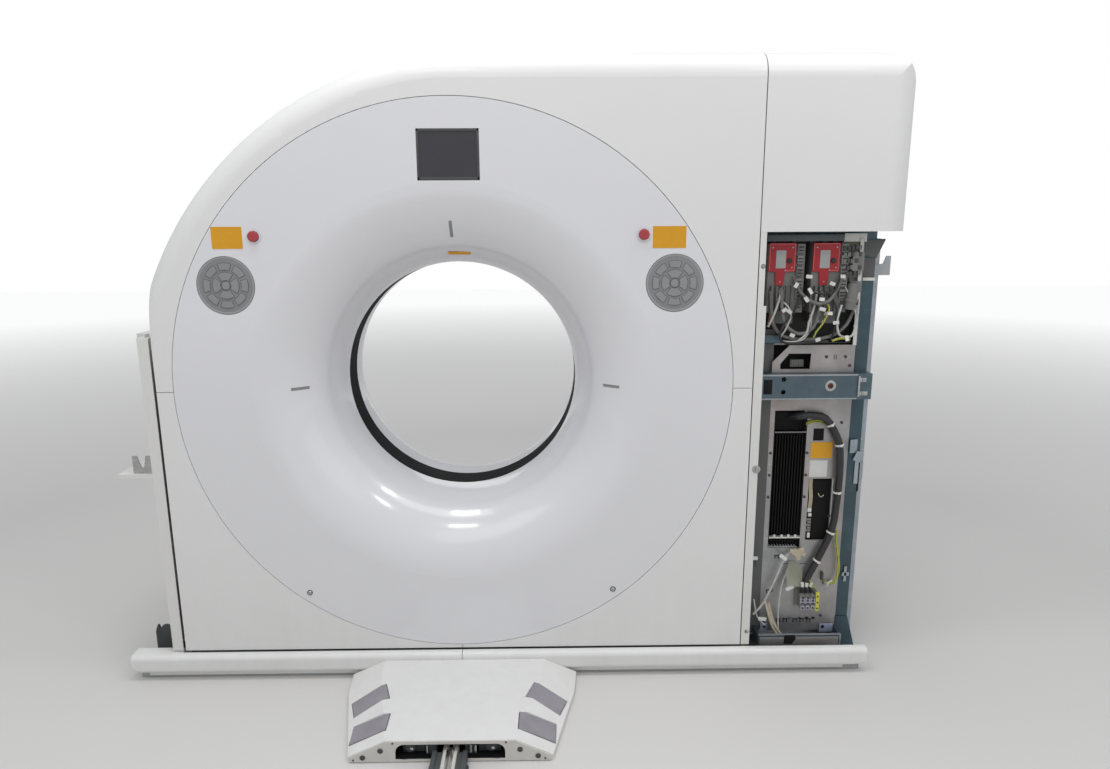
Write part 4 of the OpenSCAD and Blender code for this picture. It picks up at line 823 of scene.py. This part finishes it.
def panel_fittings():
    """Screws, plates, knock-outs and bars of the lower panel, what shows in its slots, and painted shade
    behind them.
    """
    screws = Kit("panel_screws", "bezel_dark")
    for z in (664, 594, 524):
        screws.screw((935, PY, z), 4.4)
        screws.screw((1046, PY, z), 4.4)
    for x, z in ((1144, 758), (1126, 462), (1122, 128), (1080, 960), (1136, 960), (1150, 934)):
        screws.screw((x, PY if z < 900 else PY - 12, z), 4.6)
    screws.done()
    plate = Kit("panel_plate_yellow", "pad_grey", YELLOW)
    plate.plate(rounded(66, 50, 2), 0.8, (1089, PY, 672))
    plate.done()
    white = Kit("panel_plate_white", "pad_grey", WHITE_FILM)
    white.plate(rounded(54, 52, 2), 0.8, (1083, PY, 614))
    white.done()
    marks = Kit("panel_marks", "bay_dark")
    for x in (1102, 1108):
        marks.box(x, x + 2, PY - 12.4, PY - 11.6, 952, 966, 0.1)
    for x, z in ((988, 112), (1010, 112), (1041, 112), (1063, 112), (1084, 112), (972, 328), (952, 212)):
        for a, b, c, d in ((-7, 7, 3, 7), (-7, -3.6, -6, 6), (3.6, 7, -6, 6)):
            marks.box(x + a, x + b, PY - 0.7, PY + 0.3, z + c, z + d, 0.2)
    marks.box(990, 1012, PY - 0.4, PY + 0.4, 304, 306, 0.1)
    marks.box(1046, 1066, PY - 0.4, PY + 0.4, 304, 306, 0.1)
    marks.done()
    # Black sheets behind the slots are painted shade.
    shade_sheet = Kit("panel_slot_shade", "bay_dark", BLACK)
    shade_sheet.box(1056, 1098, PY + 3.2, PY + 5, 697, 745, 0.3)
    shade_sheet.box(1051, 1133, PY + 9, PY + 11, 377, 588, 0.3)
    shade_sheet.box(945, 1038, PY + 20, PY + 24, 731, 800, 0.3)
    shade_sheet.done()
    wires = Kit("slot_wires", "cable_grey", BEIGE)
    for x in (1061, 1065, 1069):
        wires.tube([(x, PY + 5, 584), (x - 1, PY + 3, 560), (x + 2, PY + 2, 520), (x + 1, PY + 4, 486)], 1.8)
    wires.tube([(1090, PY + 4, 534), (1093, PY + 2, 526), (1099, PY + 1, 523), (1106, PY + 2, 529)], 1.5)
    wires.done()
    plug = Kit("slot_plug", "pad_grey", TAG)
    plug.box(1059, 1071, PY, PY + 6, 474, 486, 1.0)
    plug.box(1062, 1072, PY - 1, PY + 6, 460, 470, 1.0)
    plug.box(1063, 1071, PY, PY + 6, 390, 406, 1.0)
    plug.plate(rounded(3, 200, 1), 0.6, (1130.5, PY, 482))
    plug.done()
    stack = Kit("slot_stack", "connector_grey")
    for k in range(5):
        stack.box(1058 + (k % 2) * 3, 1072, PY + 1, PY + 6, 410 + 9 * k, 417 + 9 * k, 0.8)
    stack.done()
    bars = Kit("module_bars", "body_grey")
    bars.box(944, 1040, PY - 1.5, PY + 3, 727, 731, 0.8)
    bars.box(944, 1040, PY - 1.5, PY + 3, 392, 398, 0.8)
    bars.done()
    clamps = Kit("module_clamps", "pad_grey", TAG)
    for x in (960, 983, 1004, 1025):
        clamps.box(x - 3.4, x + 3.4, PY - 3.4, PY, 392, 402, 1.0)
    clamps.box(944, 1040, PY - 2.2, PY - 0.6, 390, 394, 0.5)
    clamps.done()


def terminals():
    """Three terminals with their screws and ferrules, and the earth terminal beside them."""
    y = PY - 34
    grey = Kit("terminal_blocks", "connector_grey", LAVENDER)
    dark = Kit("terminal_screws", "bay_dark")
    pale = Kit("terminal_ferrules", "pad_grey", TAG)
    yellow = Kit("terminal_earth", "earth_green", LIME)
    for k in range(3):
        x = 1042 + 16 * k
        grey.box(x - 0.4, x + 14.4, y - 3, y + 2, 186, 206, 1.2)
        grey.box(x + 1, x + 13, y - 6, y - 2, 168, 182, 1.2)
        dark.box(x + 2, x + 12, y - 3.8, y - 2.6, 186.5, 190, 0.3)
        for z in (175, 198, 208):
            dark.lathe([(3.6, 0), (3.6, 0.8), (0, 0.8)], (x + 7, y - 3 if z == 198 else y - 5.6, z), steps=16)
        lean = (0.08 * (k - 1), -0.1, 1)
        pale.lathe([(4.8, 0), (5.4, 4), (5.0, 13), (0, 13)], (1049 + 13 * k, y + 8, 240), lean, 16)
    yellow.box(1089.6, 1100.4, y - 4, y + 3, 162, 224, 1.2)
    for z in (172, 192, 212):
        dark.lathe([(2.8, 0), (2.8, 0.8), (0, 0.8)], (1095, y - 4, z), steps=16)
    for kit in (grey, dark, pale, yellow):
        kit.done()


HARNESS_Y = FY + 72
HARNESS_TIES = (
    (1104, 757, 0.5, -0.9), (1135, 694, 0.25, -1), (1139, 545, 0.05, -1), (1128, 415, -0.3, -1),
    (1092, 322, -0.5, -0.9))


def harness_ties():
    """Ties around the harness, the earth lead's lug and nut, and the harness's thin branches."""
    ties = Kit("harness_ties", "pad_grey", TAG)
    y = HARNESS_Y
    for x, z, dx, dz in HARNESS_TIES:
        ties.lathe([(12.4, -3), (13.2, -2.4), (13.2, 2.4), (12.4, 3)], (x, y, z), (dx, 0, dz), 24)
        ties.box(x - 4, x + 4, y - 17, y - 11, z - 3, z + 3, 1)
    ties.done()
    nut = Kit("earth_nut", "bare_steel")
    nut.hex_bolt((1130, PY - 10.4, 238), 6.5)
    nut.done()
    lug = Kit("earth_lug", "pad_grey", TAG)
    lug.lathe([(5.2, 0), (5.6, 2), (5.6, 14), (4.8, 16), (0, 16)], (1136, PY - 9, 240), (0.8, -0.05, 0.6), 18)
    lug.done()
    link = Kit("harness_branches", "earth_green")
    link.tube([(1036, PY - 4, 758), (1054, PY - 5, 765), (1074, PY - 5, 767), (1092, PY - 4, 762),
               (1104, PY - 3, 752)], 2.4)
    link.tube([(1036, PY - 4, 753), (1056, PY - 5, 760), (1076, PY - 5, 761), (1098, PY - 3, 752)], 2.0)
    link.tube([(1070, y - 8, 262), (1078, y - 12, 246), (1088, y - 8, 236), (1095, y - 4, 226)], 2.6)
    link.done()


def loose_leads():
    """Thin leads that hang in front of the lower panel, with their tags, plugs and a scrap of film."""
    y = PY - 14
    pale = Kit("loose_leads", "cable_grey", LEAD_WHITE)
    pale.tube([(1008, y + 4, 344), (988, y - 2, 322), (962, y - 8, 256), (930, y - 10, 184),
               (902, y - 8, 146)], 3.4)
    pale.tube([(1012, y + 6, 298), (994, y, 262), (984, y - 4, 216), (980, y - 8, 150),
               (982, y - 10, 96)], 2.4)
    pale.tube([(902, y - 6, 196), (914, y - 10, 140), (938, y - 14, 112)], 2.4)
    pale.tube([(934, y - 8, 198), (950, y - 12, 148), (972, y - 14, 104)], 3.6)
    pale.done()
    tag = Kit("loose_tags", "pad_grey", TAG)
    for x, z, tilt in ((893, 336, 4), (984, 338, 38), (1010, 236, -22), (930, 132, 8)):
        tag.plate(rounded(26, 11, 1.5), 0.8, (x, y - 12, z), (0.1, -1, 0.2), tilted_up(tilt))
    tag.done()
    plug = Kit("loose_plugs", "bezel_dark")
    plug.box(894, 904, y - 12, y - 4, 306, 326, 1.5)
    plug.box(1112, 1119, PY - 12, PY, 252, 278, 1.5)
    plug.done()
    film = Kit("clear_bag", "pad_grey", clear_film())
    film.plate([(-30, -40), (18, -46), (30, 2), (16, 36), (-14, 34), (-30, 4)], 0.5, (1026, y + 2, 282),
               (0.25, -1, 0.35))
    film.done()
    lump = Kit("crumpled_plug", "cable_grey", BEIGE)
    for x, z, turn, r in ((1026, 350, 34, 15), (1038, 358, -18, 11), (1014, 356, 12, 10), (1030, 336, 52, 10),
                          (1046, 346, 20, 8)):
        lump.box(x - r, x + r, y - 8 - 0.3 * r, y - 4, z - 0.7 * r, z + 0.7 * r, 2.4, turn=("Y", turn))
    lump.done()


def clear_film():
    """Crumpled translucent plastic film."""
    p = Paint("clear_film", 0.25)
    p.color((0.40, 0.41, 0.31))
    p.shader.inputs["Alpha"].default_value = 0.42
    p.bump(p.noise(55, 5.0), 0.9, 0.004)
    return p.mat


def tray_fittings():
    """Flange, recess, brackets and painted shade in the holes of the tray at the foot of the lower panel, and
    two leads.
    """
    front = FY + 28
    flange = Kit("tray_flange", "panel_grey", PALE_ZINC)
    flange.box(909, 1165, front - 1, front + 6, 95.6, 98.4, 0.4)
    flange.box(1161, 1166, front - 1, front + 1, 58, 98, 0.4)
    flange.done()
    recess = Kit("tray_recess", "panel_grey")
    recess.box(914, 1158, front - 0.6, front + 0.2, 62, 90, 0.2)
    recess.done()
    tabs = Kit("tray_brackets", "blue_zinc", LILAC)
    tabs.box(1118, 1161, PY - 8, PY - 5.6, 76, 103, 0.8)
    tabs.box(1118, 1161, PY - 8, PY - 1, 75, 78, 0.6)
    tabs.box(930, 952, PY - 8, PY - 5.6, 80, 108, 0.8)
    tabs.done()
    # Black discs and patch in the holes are painted shade.
    hole_shade = Kit("tray_hole_shade", "bay_dark", BLACK)
    hole_shade.lathe([(5.4, 0), (5.4, 0.4), (0, 0.4)], (1128, PY - 8, 93), steps=24)
    hole_shade.lathe([(4.4, 0), (4.4, 0.4), (0, 0.4)], (943, PY - 8, 95), steps=24)
    hole_shade.plate([(-18, -14), (6, -16), (19, 2), (15, 15), (-17, 15)], 0.8, (1007, front - 1, 82))
    hole_shade.done()
    leads = Kit("beige_leads", "cable_grey", BEIGE)
    y = PY - 22
    leads.tube([(946, y, 186), (956, y - 4, 150), (968, y - 6, 116), (984, y - 10, 88),
                (1000, y - 12, 74)], 4.2)
    leads.tube([(940, y - 2, 176), (950, y - 8, 140), (962, y - 10, 106), (980, y - 14, 80)], 3.4)
    leads.done()


def post_hardware():
    """Screws on the left edge of the column, and the catch, strip and washer on its posts."""
    screws = Kit("bracket_screws", "bare_steel")
    for x, z in ((864, 643), (866, 126), (859, 1227)):
        screws.screw((x, FY + 1.2, z), 4.6)
    screws.done()
    catch = Kit("post_catch", "blue_zinc", PALE_ZINC)
    catch.box(1171, 1196, PY - 6, PY - 3.6, 664, 706, 1.0, turn=("Z", 14))
    catch.box(1188, 1212, PY - 8, PY - 5.6, 636, 668, 1.0, turn=("Y", 24))
    catch.box(1192, 1204, PY - 4, PY - 1, 566, 640, 0.8)
    catch.box(1178, 1200, PY - 6, PY - 3.6, 264, 276, 0.8)
    catch.box(1184, 1192, PY - 6, PY - 3.6, 246, 296, 0.8)
    for z in (684, 700):
        catch.screw((1180, PY - 6, z), 3.4)
    catch.done()
    thin = Kit("post_strip", "bay_dark", BLACK)
    thin.box(1204, 1209, PY - 1.5, PY + 2, 540, 636, 0.4)
    thin.done()
    washer = Kit("hinge_washer", "bare_steel")
    washer.lathe([(12, 0), (12, 1.6), (11, 2.2), (6, 2.2), (6, 0.4)], (868, FY, 643), steps=32)
    washer.done()


# Pedal cover

END_PLATE_Y = -668.2
CAVITY_FRONT, CAVITY_BACK = -667, -597
RAIL_END = -776


def pedal_fittings():
    """Bolts of the end plate, painted shade inside its opening, and the castings, rails and pins in and
    before it.
    """
    bolts = Kit("end_plate_bolts", "bezel_dark")
    head = [(7.2, 0), (7.2, 1.2), (6.4, 1.8), (3.4, 1.8), (3.2, 0.8), (0, 0.8)]
    for x, z in ((-216, 15), (-170, 34), (186, 34), (232, 15)):
        bolts.lathe(head, (x, END_PLATE_Y, z), steps=24)
    for x, z in ((-138, 55), (150, 55), (-240, 8), (250, 8)):
        bolts.screw((x, END_PLATE_Y, z), 2.6)
    bolts.done()
    # Black sheets on the back, floor, roof and sides of the opening are painted shade.
    cavity_shade = Kit("cavity_painted_shade", "bay_dark", BLACK)
    cavity_shade.box(-131.6, 147.6, CAVITY_BACK - 1, CAVITY_BACK + 0.6, 9.4, 50.6, 0)
    cavity_shade.box(-131.6, 147.6, CAVITY_FRONT, CAVITY_BACK, 9.05, 9.8, 0)
    cavity_shade.box(-112, 128, CAVITY_FRONT, CAVITY_BACK, 50.2, 50.95, 0)
    cavity_shade.box(-131.95, -131.2, CAVITY_FRONT, CAVITY_BACK, 9.4, 29, 0)
    cavity_shade.box(147.2, 147.95, CAVITY_FRONT, CAVITY_BACK, 9.4, 29, 0)
    cavity_shade.done()
    iron = Kit("cavity_castings", "dark_iron")
    iron.box(-118, -58, -640, -610, 10, 34, 2)
    iron.box(-50, -28, -652, -600, 10, 44, 2)
    iron.box(44, 66, -652, -600, 10, 44, 2)
    iron.box(78, 136, -640, -610, 10, 32, 2)
    iron.lathe([(13, 0), (13, 10), (10, 12), (0, 12)], (-96, -640, 28), steps=28)
    iron.lathe([(14, 0), (14, 10), (11, 12), (0, 12)], (112, -640, 30), steps=28)
    near = END_PLATE_Y - 0.4
    iron.box(-36, -8, RAIL_END, near, 6.2, 30, 2.5)
    iron.box(24, 52, RAIL_END, near, 6.2, 30, 2.5)
    iron.box(-42, 58, RAIL_END, -700, 6.2, 16, 2.5)
    iron.box(-36.6, -25.4, RAIL_END - 1.9, near, 6.4, 34.6, 0.5)
    iron.box(41.4, 52.6, RAIL_END - 1.9, near, 6.4, 34.6, 0.5)
    iron.done()
    bright = Kit("cavity_pins", "bare_steel")
    for x in (-92, 116):
        bright.lathe([(5, 0), (5, 3), (3.4, 4), (0, 4)], (x, -652, 28), steps=20)
    bright.box(56, 62, -660, -652, 20, 42, 1)
    bright.box(68, 74, -656, -640, 14, 38, 1)
    bright.box(-54, -50, -658, -640, 12, 40, 1)
    bright.box(-1, 4, RAIL_END, -664, 18, 33.4, 0.8)
    bright.box(13, 18, RAIL_END, -664, 18, 33.4, 0.8)
    bright.box(13, 19, -680, -664, 33, 40, 0.8)
    bright.done()


# Stage

FLOOR_COLOR = (0.62, 0.61, 0.60, 1)
FLOOR_HALF = 14
FLOOR_DROP = 0.0005
FADE_FROM, FADE_TO, FADE_GLOW = 2.5, 11.0, 0.62
SOFT_COLOR, SOFT_STRENGTH = (0.96, 0.98, 1.0, 1), 0.55
CEILING_Z = 3.4


def stage():
    """Pale floor that fades into the white backdrop with the distance from the part."""
    floor_mat = bpy.data.materials.new("floor")
    floor_mat.use_nodes = True
    tree = floor_mat.node_tree
    shader = tree.nodes["Principled BSDF"]
    shader.inputs["Base Color"].default_value = FLOOR_COLOR
    shader.inputs["Roughness"].default_value = 0.75
    place = tree.nodes.new("ShaderNodeTexCoord")
    length = tree.nodes.new("ShaderNodeVectorMath")
    length.operation = "LENGTH"
    tree.links.new(place.outputs["Object"], length.inputs[0])
    fade = tree.nodes.new("ShaderNodeMapRange")
    fade.inputs["From Min"].default_value = FADE_FROM
    fade.inputs["From Max"].default_value = FADE_TO
    fade.inputs["To Max"].default_value = FADE_GLOW
    tree.links.new(length.outputs["Value"], fade.inputs["Value"])
    shader.inputs["Emission Color"].default_value = (1, 1, 1, 1)
    tree.links.new(fade.outputs["Result"], shader.inputs["Emission Strength"])
    mesh = bpy.data.meshes.new("floor")
    corners = [(x * FLOOR_HALF, y * FLOOR_HALF, 0) for x, y in ((-1, -1), (1, -1), (1, 1), (-1, 1))]
    mesh.from_pydata(corners, [], [(0, 1, 2, 3)])
    mesh.materials.append(floor_mat)
    floor = bpy.data.objects.new("floor", mesh)
    floor.location.z = -FLOOR_DROP
    bpy.context.scene.collection.objects.link(floor)


def world():
    """Even grey-white light, with a white backdrop for the camera, also through clear pieces."""
    made = bpy.data.worlds.new("studio")
    bpy.context.scene.world = made
    made.use_nodes = True
    tree = made.node_tree
    tree.nodes.clear()
    out = tree.nodes.new("ShaderNodeOutputWorld")
    path = tree.nodes.new("ShaderNodeLightPath")
    soft = tree.nodes.new("ShaderNodeBackground")
    soft.inputs["Color"].default_value = SOFT_COLOR
    soft.inputs["Strength"].default_value = SOFT_STRENGTH
    white = tree.nodes.new("ShaderNodeBackground")
    white.inputs["Color"].default_value = (1, 1, 1, 1)
    white.inputs["Strength"].default_value = 1.0
    first = tree.nodes.new("ShaderNodeMath")
    first.operation = "MAXIMUM"
    tree.links.new(path.outputs["Is Camera Ray"], first.inputs[0])
    tree.links.new(path.outputs["Is Transmission Ray"], first.inputs[1])
    mix = tree.nodes.new("ShaderNodeMixShader")
    tree.links.new(first.outputs[0], mix.inputs["Fac"])
    tree.links.new(soft.outputs[0], mix.inputs[1])
    tree.links.new(white.outputs[0], mix.inputs[2])
    tree.links.new(mix.outputs[0], out.inputs["Surface"])


def lamp(name, size, at, aim, power):
    """Soft box of a size and power that stands at one point and faces another."""
    data = bpy.data.lights.new(name, "AREA")
    data.shape = "RECTANGLE"
    data.size, data.size_y = size
    data.energy = power
    made = bpy.data.objects.new(name, data)
    made.location = at
    made.rotation_euler = (Vector(aim) - Vector(at)).to_track_quat("-Z", "Y").to_euler()
    bpy.context.scene.collection.objects.link(made)


def lights():
    """Four large soft boxes, and four ceiling panels that the glossy flare reflects."""
    lamp("key", (3.2, 1.6), (-1.4, -3.6, 3.6), (0.1, 0, 0.8), 18)
    lamp("fill", (2.6, 2.6), (3.0, -3.4, 2.2), (0.4, 0, 0.8), 9)
    lamp("top", (3.4, 1.8), (0.2, -0.5, 4.2), (0.2, -0.3, 0.5), 36)
    lamp("rear", (3.0, 1.6), (-0.6, 3.8, 3.0), (0, 0.2, 0.8), 16)
    for x in (-0.42, 1.75):
        for y in (-2.1, -0.7):
            lamp("ceiling_window", (0.62, 0.36), (x, y, CEILING_Z), (x, y, 0), 10)


add_camera()
dress_nodes()
funnel_fittings()
control_keys()
stop_buttons()
display_frame()
drives()
column_boards()
tags()
bay_leads()
crossbar_bolts()
panel_fittings()
terminals()
harness_ties()
loose_leads()
tray_fittings()
post_hardware()
pedal_fittings()
stage()
world()
lights()
bpy.context.scene.view_settings.view_transform = "Standard"
